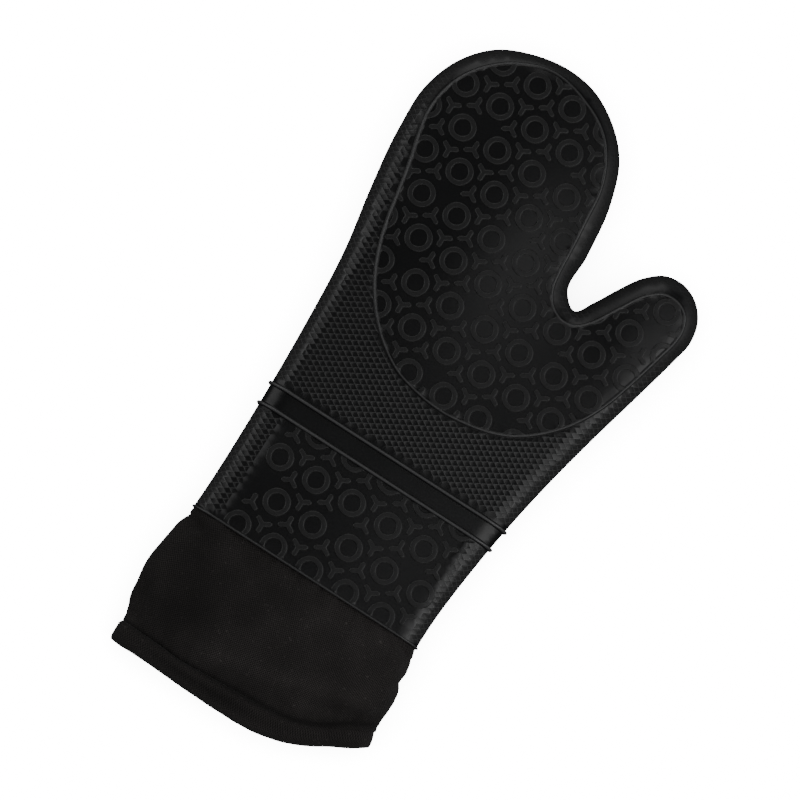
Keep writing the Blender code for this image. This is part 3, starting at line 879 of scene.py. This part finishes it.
def silicone_material():
    """Black moulded silicone: a little glossy with matt studs, and a painted highlight along its crests.

    The sides are matt and speckled, and their fine ridges are made here, with a painted highlight on them.
    """
    material, tree, shader = new_material("silicone", (0.012, 0.012, 0.0125), 0.4)
    place = add_node(tree, "TexCoord").outputs["Object"]
    smears, speckle = cloudy(tree, place, *SMEARS), cloudy(tree, place, *SPECKLE)
    raised, side = attribute(tree, "raised"), attribute(tree, "side")
    ridges = calculate(tree, "MULTIPLY", fine_ridges(tree, attribute(tree, "hatch_place", "Vector")),
                       attribute(tree, "hatch_amount"))
    rough = mix(tree, raised, between(tree, smears, *FLAT_ROUGHNESS), between(tree, smears, *STUD_ROUGHNESS))
    tree.links.new(mix(tree, side, rough, SIDE_ROUGHNESS), shader.inputs["Roughness"])
    specks = between(tree, speckle, 0.0, SIDE_SPECKLE, *SPECKLE_SPAN)
    # painted highlight on the sides' fine ridges, together with their random speckle
    side_speckle_and_highlight = calculate(tree, "MULTIPLY_ADD", side, specks,
                          calculate(tree, "MULTIPLY", ridges, HATCH_HIGHLIGHT - GROUND_HIGHLIGHT))
    # the stronger of the mesh's painted highlight and the sides' painted ridge highlight with speckle
    painted_highlight = calculate(tree, "MAXIMUM", attribute(tree, "painted_highlight"), side_speckle_and_highlight)
    tone = mix(tree, painted_highlight, mix(tree, raised, FLAT_TONE, STUD_TONE, "RGBA"), PAINTED_HIGHLIGHT_TONE, "RGBA")
    tree.links.new(tone, shader.inputs["Base Color"])
    normal = bump(tree, ridges, *RIDGE_BUMP)
    normal = bump(tree, calculate(tree, "MULTIPLY", speckle, side), *SPECKLE_BUMP, normal)
    normal = bump(tree, cloudy(tree, place, *SKIN_GRAIN), *GRAIN_BUMP, normal)
    tree.links.new(normal, shader.inputs["Normal"])
    return material


# ---- Stage: camera, floor and light ----
CAMERA_TARGET = Vector((-15.7, -3.2, 15.0)) * MM
CAMERA_ELEVATION = math.radians(84.0)
CAMERA_ROLL = math.radians(32.7)
FIELD_WIDTH = 416.5 * MM
CAMERA_FAR = 20.0               # in metres
LENS = 300.0
SENSOR = 36.0
FLOOR_HALF = 6000.0             # in millimetres
FLOOR_TONE = (0.9, 0.9, 0.9)
FLOOR_GLOW = 18.0
# The floor's painted contact shadow:
CONTACT_SHADOW_REACH = 0.03            # the floor's glow dims this near to the mitt, in metres, and
CONTACT_SHADOW_GLOW = 0.25             # to this share where they touch
ROOM_TONE = (0.9, 0.95, 1.0, 1)
ROOM_STRENGTH = 0.04
SOFTBOXES = [                   # name, place in metres, width and power
    ("softbox_right", (1.1, 0.45, 0.60), 1.3, 4.6),
    ("softbox_left", (-1.15, -0.3, 0.55), 1.2, 5.5),
    ("softbox_high", (0.62, 0.05, 0.85), 0.9, 3.3),
    ("softbox_cuff", (0.6, -1.0, 0.75), 0.5, 2.2),
    ("softbox_tip", (-0.6, 1.1, 0.50), 1.0, 3.6),
]


def add_camera():
    """A camera nearly straight above the mitt, rolled so that the mitt leans to the right."""
    back = Vector((0, -math.cos(CAMERA_ELEVATION), math.sin(CAMERA_ELEVATION)))
    level, upright = Vector((1, 0, 0)), Vector((0, math.sin(CAMERA_ELEVATION), math.cos(CAMERA_ELEVATION)))
    right = math.cos(CAMERA_ROLL) * level + math.sin(CAMERA_ROLL) * upright
    up = math.cos(CAMERA_ROLL) * upright - math.sin(CAMERA_ROLL) * level
    camera = bpy.data.objects.new("camera", bpy.data.cameras.new("camera"))
    camera.data.lens, camera.data.sensor_width = LENS, SENSOR
    camera.data.clip_end = CAMERA_FAR
    place = CAMERA_TARGET + back * FIELD_WIDTH * LENS / SENSOR
    camera.matrix_world = Matrix.Translation(place) @ Matrix((right, up, back)).transposed().to_4x4()
    bpy.context.scene.collection.objects.link(camera)
    bpy.context.scene.camera = camera


def add_softbox(name, place, size, power):
    """A square area light that looks at the middle of the mitt."""
    light = bpy.data.lights.new(name, "AREA")
    light.shape = "SQUARE"
    light.size = size
    light.energy = power
    box = bpy.data.objects.new(name, light)
    place = Vector(place)
    box.matrix_world = Matrix.Translation(place) @ place.to_track_quat("Z", "Y").to_matrix().to_4x4()
    bpy.context.scene.collection.objects.link(box)


def add_stage():
    """Pale floor that reflections don't show, with a painted contact shadow round the mitt, soft light from
    all round and a dim room.
    """
    material, tree, shader = new_material("floor_white", FLOOR_TONE, 0.9)
    shader.inputs["Specular IOR Level"].default_value = 0.0
    # painted contact shadow: ambient occlusion dims the floor's glow near the mitt
    near = add_node(tree, "AmbientOcclusion", inputs={"Distance": CONTACT_SHADOW_REACH}, samples=16)
    tree.links.new(between(tree, near.outputs["AO"], CONTACT_SHADOW_GLOW, 1.0), shader.inputs["Emission Color"])
    shader.inputs["Emission Strength"].default_value = FLOOR_GLOW
    corners = [(FLOOR_HALF * x, FLOOR_HALF * y, 0) for x, y in ((-1, -1), (1, -1), (1, 1), (-1, 1))]
    floor = new_object("floor", corners, [(0, 1, 2, 3)], material)
    floor.visible_glossy = False
    floor.visible_diffuse = False
    for softbox in SOFTBOXES:
        add_softbox(*softbox)
    world = bpy.context.scene.world or bpy.data.worlds.new("room")
    bpy.context.scene.world = world
    world.use_nodes = True
    world.node_tree.nodes["Background"].inputs["Color"].default_value = ROOM_TONE
    world.node_tree.nodes["Background"].inputs["Strength"].default_value = ROOM_STRENGTH


# ---- The cuff: woven cloth and its lining, the rolled hem and its stitches ----
CLOTH_STEP = 1.7                # spacing of the cloth's mesh
CLOTH_THICKNESS = 0.6
CLOTH_INSETS = [(-200, 2.4), (-181, 2.4), (-172, 0.9), (-113.7, 0.9), (-109.2, 1.5), (-106.2, 2.35),
                (-90, 2.35)]
CLOTH_START_Y = -98.7
CUFF_MIDDLE_Y = -142.0
LINE_ROUNDS = 4
CUFF_SIDE_X = 40.0              # the cuff's sides are the outline past this x, between these y
CUFF_SIDE_Y = (-200.0, -60.0)
HELD_MARGIN = 0.5               # it is held from this far inside the sleeve, and to this far off the hem
LOWEST = 0.15                   # no cloth lies lower than this
LINING_BEHIND = 1.5             # the lining lies this far inside the cloth's outer face
TUCK = 3.0                      # cloth and lining reach this far into the hem
SLACK = 0.045                   # share that the cloth is cut longer than the room it has
SETTLE_FRAMES = 26
SIM_SCALE = 10.0                # the cloth settles at this many times its size
CLOTH_SETTINGS = {
    "quality": 6, "mass": 0.3, "tension_stiffness": 30.0, "compression_stiffness": 30.0,
    "shear_stiffness": 12.0, "bending_stiffness": 1.2, "vertex_group_mass": "held",
    "shrink_min": -SLACK, "use_pressure": True, "uniform_pressure_force": 1.0,
}
MOST_WRINKLE = 3.0              # no place moves further than this
CUFF_SWELLS = [(2.8, 0.03, 40.0), (1.3, 0.07, 50.0)]           # height, scale and seed
CUFF_FOLDS = [                  # start, end, width and height of the folds above the hem
    ((-24.0, -167.0), (32.0, -158.0), 6.0, 2.8),
    ((20.0, -161.5), (58.0, -154.0), 4.5, -3.0),
]
FULL_SWELL = 3.5                # the painted light on the cloth is strongest where it stands out this far
SWELL_START = 8.0               # the swells reach their height this far from the cloth's held edges
CREASE_SHADE = 1.4              # the cloth is this dark along the hem's crease, over this width
CREASE_WIDTH = 1.8


class Tube:
    """Columns round the flattened tube of the cuff, which any height along it can be asked for."""

    def __init__(self, step):
        radius = float(hermite(SIDE_RADII, CUFF_MIDDLE_Y))
        left, right = (float(side) for side in self.sides(np.array([CUFF_MIDDLE_Y]))[:, 0])
        across = int((right - left - 2 * radius) / step)
        round_side = int(math.pi * radius / step)
        flat = np.linspace(-1, 1, across, endpoint=False)
        turn = np.linspace(-math.pi / 2, math.pi / 2, round_side, endpoint=False)
        self.flat = np.concatenate([flat, np.ones(round_side), -flat, -np.ones(round_side)])
        self.turn = np.concatenate([np.full(across, -math.pi / 2), turn, np.full(across, math.pi / 2), -turn])
        self.count = len(self.flat)

    @staticmethod
    def sides(y):
        """x of the outline's left and right sides along the cuff."""
        places = OUTLINE_CURVE[0]
        places = places[(places[:, 1] > CUFF_SIDE_Y[0]) & (places[:, 1] < CUFF_SIDE_Y[1])]
        result = []
        for sign in (-1, 1):
            side = places[places[:, 0] * sign > CUFF_SIDE_X]
            side = side[np.argsort(side[:, 1])]
            result.append(np.interp(y, side[:, 1], side[:, 0]))
        return np.array(result)

    def places(self, y, inset):
        """Places of the columns, each at its own y and inset."""
        y, inset = (np.broadcast_to(np.asarray(value, float), (self.count,)) for value in (y, inset))
        left, right = self.sides(y)
        radius, mid = hermite(SIDE_RADII, y), hermite(MID_HEIGHTS, y)
        across = (left + right) / 2 + self.flat * ((right - left) / 2 - radius)
        on_side = np.where(np.abs(self.flat) == 1, np.sign(self.flat), 0)
        across = across + on_side * (radius - inset) * np.cos(self.turn)
        rise = np.where(self.turn > 0, top_height(across, y) - inset - mid, mid - inset)
        return np.column_stack([across, y, mid + rise * np.sin(self.turn)])

    def at_line(self, line, by=0.0):
        """y of a line across the cuff, such as the hem's crease, at each column.

        A column's x depends on its y, so a few rounds bring the two together.
        """
        y = np.full(self.count, line[2][1], float)
        for _ in range(LINE_ROUNDS):
            y = hermite(line, self.places(y, 0.0)[:, 0]) + by
        return y


def ring_faces(rows, count, closed=False):
    """Quads between rows of a net whose rows are closed rings; closed joins the last row to the first."""
    faces = []
    for row in range(rows if closed else rows - 1):
        low, high = row * count, (row + 1) % rows * count
        faces += [(low + i, low + (i + 1) % count, high + (i + 1) % count, high + i) for i in range(count)]
    return faces


def settle_cloth(places, faces, pinned):
    """Places of a sheet after cloth simulation: a little too long for its room, so that it wrinkles."""
    mesh = bpy.data.meshes.new("settling")
    mesh.from_pydata((places * MM * SIM_SCALE).tolist(), [], faces)
    sheet = bpy.data.objects.new("settling", mesh)
    bpy.context.scene.collection.objects.link(sheet)
    group = sheet.vertex_groups.new(name="held")
    group.add([int(k) for k in pinned], 1.0, "REPLACE")
    cloth = sheet.modifiers.new("cloth", "CLOTH")
    for setting, value in CLOTH_SETTINGS.items():
        setattr(cloth.settings, setting, value)
    cloth.settings.effector_weights.gravity = 0.0
    cloth.collision_settings.use_collision = False
    cloth.point_cache.frame_end = SETTLE_FRAMES
    scene = bpy.context.scene
    for frame_number in range(1, SETTLE_FRAMES + 1):
        scene.frame_set(frame_number)
    settled = sheet.evaluated_get(bpy.context.evaluated_depsgraph_get()).data
    moved = np.empty(len(places) * 3)
    settled.vertices.foreach_get("co", moved)
    scene.frame_set(1)
    bpy.data.objects.remove(sheet)
    return moved.reshape(-1, 3) / (MM * SIM_SCALE)


def walled_tube(name, outer, inner, rows, count, material):
    """A closed thin tube between an outer and an inner net."""
    faces = ring_faces(rows, count)
    shift = rows * count
    everything = [face[::-1] for face in faces] + [tuple(shift + k for k in face) for face in faces]
    for row, flip in ((0, False), (rows - 1, True)):
        for i in range(count):
            a, b = row * count + i, row * count + (i + 1) % count
            quad = (a, b, shift + b, shift + a)
            everything.append(quad[::-1] if flip else quad)
    new = new_object(name, np.vstack([outer, inner]), everything, material)
    fix_normals(new.data)
    return new


def add_weave_places(piece, rows, count):
    """Round and along positions on a walled tube, in millimetres, which the weave follows."""
    places = np.array([v.co for v in piece.data.vertices])[:rows * count].reshape(rows, count, 3) / MM
    around = np.linalg.norm(np.roll(places, -1, 1) - places, axis=2).mean(0)
    along = np.linalg.norm(np.diff(places, axis=0), axis=2).mean(1)
    u = np.concatenate([[0.0], np.cumsum(around)[:-1]])
    v = np.concatenate([[0.0], np.cumsum(along)])
    both = np.stack([np.broadcast_to(u, (rows, count)), np.broadcast_to(v[:, None], (rows, count)),
                     np.zeros((rows, count))], 2).reshape(-1, 3)
    add_attribute(piece.data, "weave_place", np.tile(both, (2, 1)))


def soft_noise(places, height, scale, seed):
    """Smooth noise up to a height, at places in millimetres."""
    return height * np.array([noise.noise(Vector(p) * scale + Vector((seed, 0, 0))) for p in places])


def cuff_swell(places, crease):
    """How far the cuff's cloth stands out: broad soft swells, and two folds above the hem's crease."""
    away = np.minimum(SLEEVE_EDGE_Y - places[:, 1], places[:, 1] - crease)
    on_top = places[:, 2] > hermite(MID_HEIGHTS, places[:, 1])
    swell = sum(soft_noise(places, *swells) for swells in CUFF_SWELLS)
    for start, end, width, height in CUFF_FOLDS:
        run = np.array(end) - start
        along = np.clip((places[:, :2] - start) @ run / (run @ run), 0, 1)
        distance = np.hypot(*(places[:, :2] - start - along[:, None] * run).T)
        swell = swell + height * np.exp(-(distance / width) ** 2) * on_top
    return swell * np.clip(away / SWELL_START, 0, 1)


def make_cuff(cloth_material, lining_material):
    """The cuff's cloth, wrinkled by simulation, and the lining inside it."""
    tube = Tube(CLOTH_STEP)
    crease = tube.at_line(HEM_CREASE, -TUCK)
    rows = int((CLOTH_START_Y - crease.mean()) / CLOTH_STEP)
    level = np.linspace(0, 1, rows)
    heights = [CLOTH_START_Y + (crease - CLOTH_START_Y) * share for share in level]
    smooth = np.vstack([tube.places(y, hermite(CLOTH_INSETS, y)) for y in heights])
    y = smooth[:, 1]
    end = np.tile(crease, rows)
    held = np.flatnonzero((y > SLEEVE_EDGE_Y + HELD_MARGIN) | (y < end + TUCK + HELD_MARGIN))
    moved = settle_cloth(smooth, ring_faces(rows, tube.count), held)
    wrinkle = moved - smooth
    size = np.linalg.norm(wrinkle, axis=1)
    wrinkle *= (MOST_WRINKLE * np.tanh(size / MOST_WRINKLE) / np.maximum(size, 1e-6))[:, None]
    smooth = smooth + wrinkle
    smooth[:, 2] = np.maximum(smooth[:, 2], LOWEST)
    inward = -vertex_normals(smooth, [face[::-1] for face in ring_faces(rows, tube.count)])
    middle = smooth.reshape(rows, tube.count, 3).mean(1)
    if (inward * (np.repeat(middle, tube.count, 0) - smooth)).sum() < 0:
        inward = -inward
    swell = cuff_swell(smooth, end + TUCK)
    smooth = smooth - inward * swell[:, None]
    smooth[:, 2] = np.maximum(smooth[:, 2], LOWEST)
    cloth = walled_tube("cuff_cloth", smooth, smooth + inward * CLOTH_THICKNESS, rows, tube.count,
                        cloth_material)
    behind = smooth + inward * LINING_BEHIND
    lining = walled_tube("cuff_lining", behind, behind + inward * CLOTH_THICKNESS, rows, tube.count,
                         lining_material)
    # painted shade along the hem's crease and in folds, and painted light (negative shade) on swells
    shade = CREASE_SHADE * np.exp(-((smooth[:, 1] - end - TUCK) / CREASE_WIDTH) ** 2)
    shade += np.clip(-swell / FULL_SWELL, -1, 1)
    for piece in (cloth, lining):
        add_weave_places(piece, rows, tube.count)
        add_attribute(piece.data, "painted_shade", np.tile(shade, 2))
    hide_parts("cuff_join_seam", "cuff_fold_cloth", "cuff_palm_panel", "cuff_back_panel")
    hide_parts("cuff_palm_lining", "cuff_back_lining")
    return cloth, lining


HEM_STEP = 1.1
HEM_THICKNESS = 4.6
HEM_SIDES = 28                  # mesh points round the roll
HEM_SQUARENESS = 0.62           # 1 would be an ellipse, less is a flatter roll
HEM_LOWEST = 0.05               # its lowest place, and its least inset
# Noise on the roll: height, as a share or in millimetres, scale and seed
HEM_BULGES = [(0.10, 0.055, 3.0), (0.05, 0.2, 8.0)]
MOST_BULGE = 1.06
HEM_TWIST = (0.9, 0.03, 15.0)
TWIST_LEAN = 0.35               # share of the twist that the roll's two edges lift or sink
HEM_WAVER = (0.03, 0.12, 21.0)
HEM_DRAG = (0.16, 0.5, 30.0)
DRAG_STRETCH = np.array([1.0, 0.35, 1.0])
HEM_GROOVE = 2.4                # depth of the hollow along the roll
GROOVE_ALONG = (-0.15, 0.35)    # its place across the roll, from -1 at the edge to 1, and its width
GROOVE_X = (-17.0, 36.0)        # its middle and how far it reaches to each side
GROOVE_SHADE = 1.3
ROLL_CREASE_SHADE = 1.6         # the roll is this dark at its crease, over this share of its width
ROLL_CREASE_WIDTH = 0.2
SHADE_FROM = -0.1               # the shade reaches this far down the roll's sides
STITCH_LINE = -1.9              # the stitches lie this far past the crease, on the hem
STITCH_PITCH = 3.2
STITCH_LENGTH = 2.3
STITCH_RADIUS = 0.22
STITCH_SINK = 0.75              # how deep a stitch's ends dip, as a share of a millimetre
STITCH_ENDS = 0.45              # a stitch's thickness at its ends, as a share of its middle's
STITCH_SIDES = 6
STITCH_KNOTS = 6                # rings of mesh points along a stitch
STITCH_AHEAD = 0.2              # the hem's direction is taken over this length
STITCH_COLUMN_STEP = 0.4


def make_hem(material):
    """The cuff's edge, rolled over itself: a flattened closed ring, uneven and grooved."""
    tube = Tube(HEM_STEP)
    crease, edge = tube.at_line(HEM_CREASE), tube.at_line(HEM_EDGE)
    middle, half = (crease + edge) / 2, (crease - edge) / 2
    spread = tube.places(middle, 0.0)
    bulge = 1 + sum(soft_noise(spread, *bulges) for bulges in HEM_BULGES)
    twist = soft_noise(spread, *HEM_TWIST)
    rings, painted_shade = [], []
    for turn in np.arange(HEM_SIDES) * 2 * math.pi / HEM_SIDES:
        along = np.sign(math.cos(turn)) * abs(math.cos(turn)) ** HEM_SQUARENESS
        lift = np.sign(math.sin(turn)) * abs(math.sin(turn)) ** HEM_SQUARENESS
        y = middle + half * along * (1 + soft_noise(spread, *HEM_WAVER))
        inset = HEM_THICKNESS / 2 * (1 - lift * np.minimum(bulge, MOST_BULGE)) + twist * along * TWIST_LEAN
        ring = tube.places(y, np.maximum(inset, HEM_LOWEST))
        drag = soft_noise(ring * DRAG_STRETCH, *HEM_DRAG)
        groove = math.exp(-((along - GROOVE_ALONG[0]) / GROOVE_ALONG[1]) ** 2)
        groove = groove * np.exp(-((ring[:, 0] - GROOVE_X[0]) / GROOVE_X[1]) ** 2)
        at_crease = math.exp(-((along - 1) / ROLL_CREASE_WIDTH) ** 2)
        # painted shade in the roll's groove and at its crease
        painted_shade.append((GROOVE_SHADE * groove + ROLL_CREASE_SHADE * at_crease) * (lift > SHADE_FROM))
        ring[:, 2] += (drag - HEM_GROOVE * groove) * lift
        ring[:, 2] = np.maximum(ring[:, 2], HEM_LOWEST)
        rings.append(ring)
    places = np.vstack(rings)
    hem = new_object("hem_roll", places, ring_faces(HEM_SIDES, tube.count, closed=True), material)
    around = np.concatenate([[0.0], np.cumsum(np.linalg.norm(np.diff(spread, axis=0), axis=1))])
    girth = np.arange(HEM_SIDES) * 4 * (half.mean() + HEM_THICKNESS / 2) / HEM_SIDES
    both = np.stack([np.tile(around, HEM_SIDES), np.repeat(girth, tube.count), np.zeros(len(places))], 1)
    add_attribute(hem.data, "weave_place", both)
    add_attribute(hem.data, "painted_shade", np.concatenate(painted_shade))
    fix_normals(hem.data)
    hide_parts("cuff_hem")
    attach(hem, "cuff")


def make_stitches(material):
    """Short lengths of thread in a row round the hem, each dipping into the cloth at its ends."""
    tube = Tube(STITCH_COLUMN_STEP)
    line = tube.places(tube.at_line(HEM_CREASE, STITCH_LINE), 0.0)
    inner = tube.places(tube.at_line(HEM_CREASE, STITCH_LINE), 1.0)
    length = np.concatenate([[0.0], np.cumsum(np.linalg.norm(np.diff(line, axis=0), axis=1))])

    def place_at(run, at):
        return np.array([np.interp(at, length, run[:, k]) for k in range(3)])

    places, faces = [], []
    for start in np.arange(0, length[-1] - STITCH_PITCH, STITCH_PITCH):
        base = len(places)
        for share in np.arange(STITCH_KNOTS) / (STITCH_KNOTS - 1):
            at = start + share * STITCH_LENGTH
            on = place_at(line, at)
            into = place_at(inner, at) - on
            rise = math.sin(math.pi * share)
            centre = on + into * STITCH_SINK * (1 - rise)
            across = np.cross(place_at(line, at + STITCH_AHEAD) - on, into)
            across /= np.linalg.norm(across)
            size = STITCH_RADIUS * (STITCH_ENDS + (1 - STITCH_ENDS) * rise)
            for angle in np.arange(STITCH_SIDES) * 2 * math.pi / STITCH_SIDES:
                places.append(centre + (math.cos(angle) * across + math.sin(angle) * into) * size)
        end = len(places)
        walls = ring_faces(STITCH_KNOTS, STITCH_SIDES)
        faces += [tuple(base + corner for corner in face) for face in walls]
        faces += [tuple(range(base, base + STITCH_SIDES))[::-1], tuple(range(end - STITCH_SIDES, end))]
    stitches = new_object("hem_stitches", places, faces, material)
    fix_normals(stitches.data)
    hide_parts("hem_thread")
    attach(stitches, "cuff")


# ---- The quilted liner inside the silicone ----
LINER = (2.3, 6.2)              # insets of its outer and inner faces
LINER_START_Y = -97.7
LINER_STEPS = (4.0, 3.5)        # mesh spacing round the sides and over the flats
LINER_SIDE_ROWS = 5
QUILT_PITCH = 24.0
QUILT_DEPTH = 1.6
QUILT_FULLNESS = 0.5            # less makes the pads flatter on top, with narrower valleys


def quilt(flat, _side):
    """Lift of the liner's inner face, alike on both sides: pads between crossed rows of stitches."""
    x, y = flat.T
    rise = np.ones(len(flat))
    for across in (x + y, x - y):
        rise = rise * np.abs(np.sin(math.pi * across / (QUILT_PITCH * math.sqrt(2)))) ** QUILT_FULLNESS
    return -QUILT_DEPTH * rise


def make_liner(material):
    """Padding sewn between two cloths, as one closed piece for the hand and one for the thumb."""
    columns, cuts = side_columns(LINER_STEPS[0], LINER_START_Y)
    skins = []
    for inset, lift in zip(LINER, (None, quilt)):
        plan = plain_plan(columns, cuts, SIDE_RADIUS, LINER_START_Y, LINER_STEPS[1])
        skins.append(skin(columns, cuts, plan, inset, SIDE_RADIUS, LINER_SIDE_ROWS, lift))
    pieces = []
    for name, thumb in (("liner_main", False), ("liner_thumb", True)):
        piece, _ = walled_piece(name, *skins, thumb, LINER_START_Y, material)
        places = np.array([v.co for v in piece.data.vertices]) / MM
        add_attribute(piece.data, "weave_place", places * np.array([1.0, 1.0, 0.0]))
        pieces.append(piece)
    layers = [f"{side}_{layer}" for side in ("palm", "back") for layer in ("wadding", "lining")]
    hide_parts(*(f"{part}_{layer}" for part in ("hand", "finger") for layer in layers),
                "outer_side_seam", "thumb_side_seam", "finger_seam", "knuckle_liner")
    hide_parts(*(f"thumb_{layer}" for layer in layers), "thumb_seam", "thumb_root_liner")
    return pieces


# Colour, thread pitch in millimetres, roughness, and strength of the weave's relief
CUFF_COTTON = ((0.0172, 0.0152, 0.0147), 0.68, 0.9, 0.9)
LINING_COTTON = ((0.020, 0.019, 0.019), 0.8, 0.95, 0.7)
THREAD = ((0.014, 0.013, 0.013), 0.3, 0.85, 0.5)
THREAD_TONES = (0.15, 2.15)     # shares of the cloth's colour between the threads and on top of them
FLECK_TONE = 2.6                # the same on flecks of lint, and
PATCH_TONES = (0.62, 1.42)      # from patch to patch: random tone, partly wear and lint and partly painted shade of wrinkles
PATCH_SPAN = (0.3, 0.7)
FLECK_SPAN = (0.66, 0.74)
PAINTED_SHADE_TONE = -0.42             # change of tone at full painted shade; where the shade is negative, on swells, it paints light
WANDER = (0.35, 3.0)            # scale and detail of the noise
WANDER_REACH = 0.5              # the threads wander this far, in millimetres
FUZZ = (1500.0, 3.0)
FUZZ_HEIGHT = 0.6
LINT = (620.0, 2.0)
PATCHES = (24.0, 3.0)
THREAD_HEIGHT = 0.22 * MM
CLOTH_SPECULAR = 0.2
CLOTH_SHEEN = 0.08
CLOTH_SHEEN_ROUGHNESS = 0.5


def tinted(colour, share):
    """A share of a colour, with full alpha."""
    return (*(channel * share for channel in colour), 1)


def cloth_material(name, colour, thread_pitch, roughness, relief):
    """Plain woven cotton: crossed threads, lint, paler and darker patches, painted shade in hollows and
    creases with painted light on swells, soft sheen.
    """
    material, tree, shader = new_material(name, colour, roughness)
    woven = attribute(tree, "weave_place", "Vector")
    shift = add_node(tree, "VectorMath", "SCALE", {"Vector": cloudy(tree, woven, *WANDER, "Color"),
                                                   "Scale": WANDER_REACH}).outputs["Vector"]
    moved = add_node(tree, "VectorMath", "ADD", (woven, shift)).outputs["Vector"]
    along = add_node(tree, "SeparateXYZ", inputs=(moved,)).outputs
    waves = [calculate(tree, "SINE", calculate(tree, "MULTIPLY", along[axis], math.pi / thread_pitch))
             for axis in ("X", "Y")]
    height = calculate(tree, "MULTIPLY_ADD", calculate(tree, "MULTIPLY", *waves), 0.5, 0.5)
    place = add_node(tree, "TexCoord").outputs["Object"]
    tone = mix(tree, height, *(tinted(colour, share) for share in THREAD_TONES), "RGBA")
    flecks = between(tree, cloudy(tree, place, *LINT), 0.0, 1.0, *FLECK_SPAN)
    tone = mix(tree, flecks, tone, tinted(colour, FLECK_TONE), "RGBA")
    # paler and darker patches: partly wear and lint, partly painted shade of wrinkles
    patches = between(tree, cloudy(tree, place, *PATCHES), *PATCH_TONES, *PATCH_SPAN)
    # painted shade darkens hollows and creases, painted light pales swells
    painted_shading = calculate(tree, "MULTIPLY_ADD", attribute(tree, "painted_shade"), PAINTED_SHADE_TONE, 1.0)
    tone = add_node(tree, "VectorMath", "SCALE", {"Vector": tone,
                                                  "Scale": calculate(tree, "MULTIPLY", patches, painted_shading)})
    tree.links.new(tone.outputs["Vector"], shader.inputs["Base Color"])
    fuzzy = calculate(tree, "MULTIPLY_ADD", cloudy(tree, place, *FUZZ), FUZZ_HEIGHT, height)
    tree.links.new(bump(tree, fuzzy, relief, THREAD_HEIGHT), shader.inputs["Normal"])
    shader.inputs["Specular IOR Level"].default_value = CLOTH_SPECULAR
    shader.inputs["Sheen Weight"].default_value = CLOTH_SHEEN
    shader.inputs["Sheen Roughness"].default_value = CLOTH_SHEEN_ROUGHNESS
    return material


# ---- Putting it together ----
add_camera()
add_stage()
silicone = silicone_material()
cuff_cotton = cloth_material("cuff_cotton", *CUFF_COTTON)
lining_cotton = cloth_material("lining_cotton", *LINING_COTTON)
thread = cloth_material("thread", *THREAD)

shell_main, shell_thumb = make_shell(silicone)
bend_with_hand(shell_main, shell_thumb)
liner_main, liner_thumb = make_liner(lining_cotton)
bend_with_hand(liner_main, liner_thumb)
cuff_cloth, cuff_lining = make_cuff(cuff_cotton, lining_cotton)
for sheet in (cuff_cloth, cuff_lining):
    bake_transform(sheet)
make_hem(cuff_cotton)
make_stitches(thread)
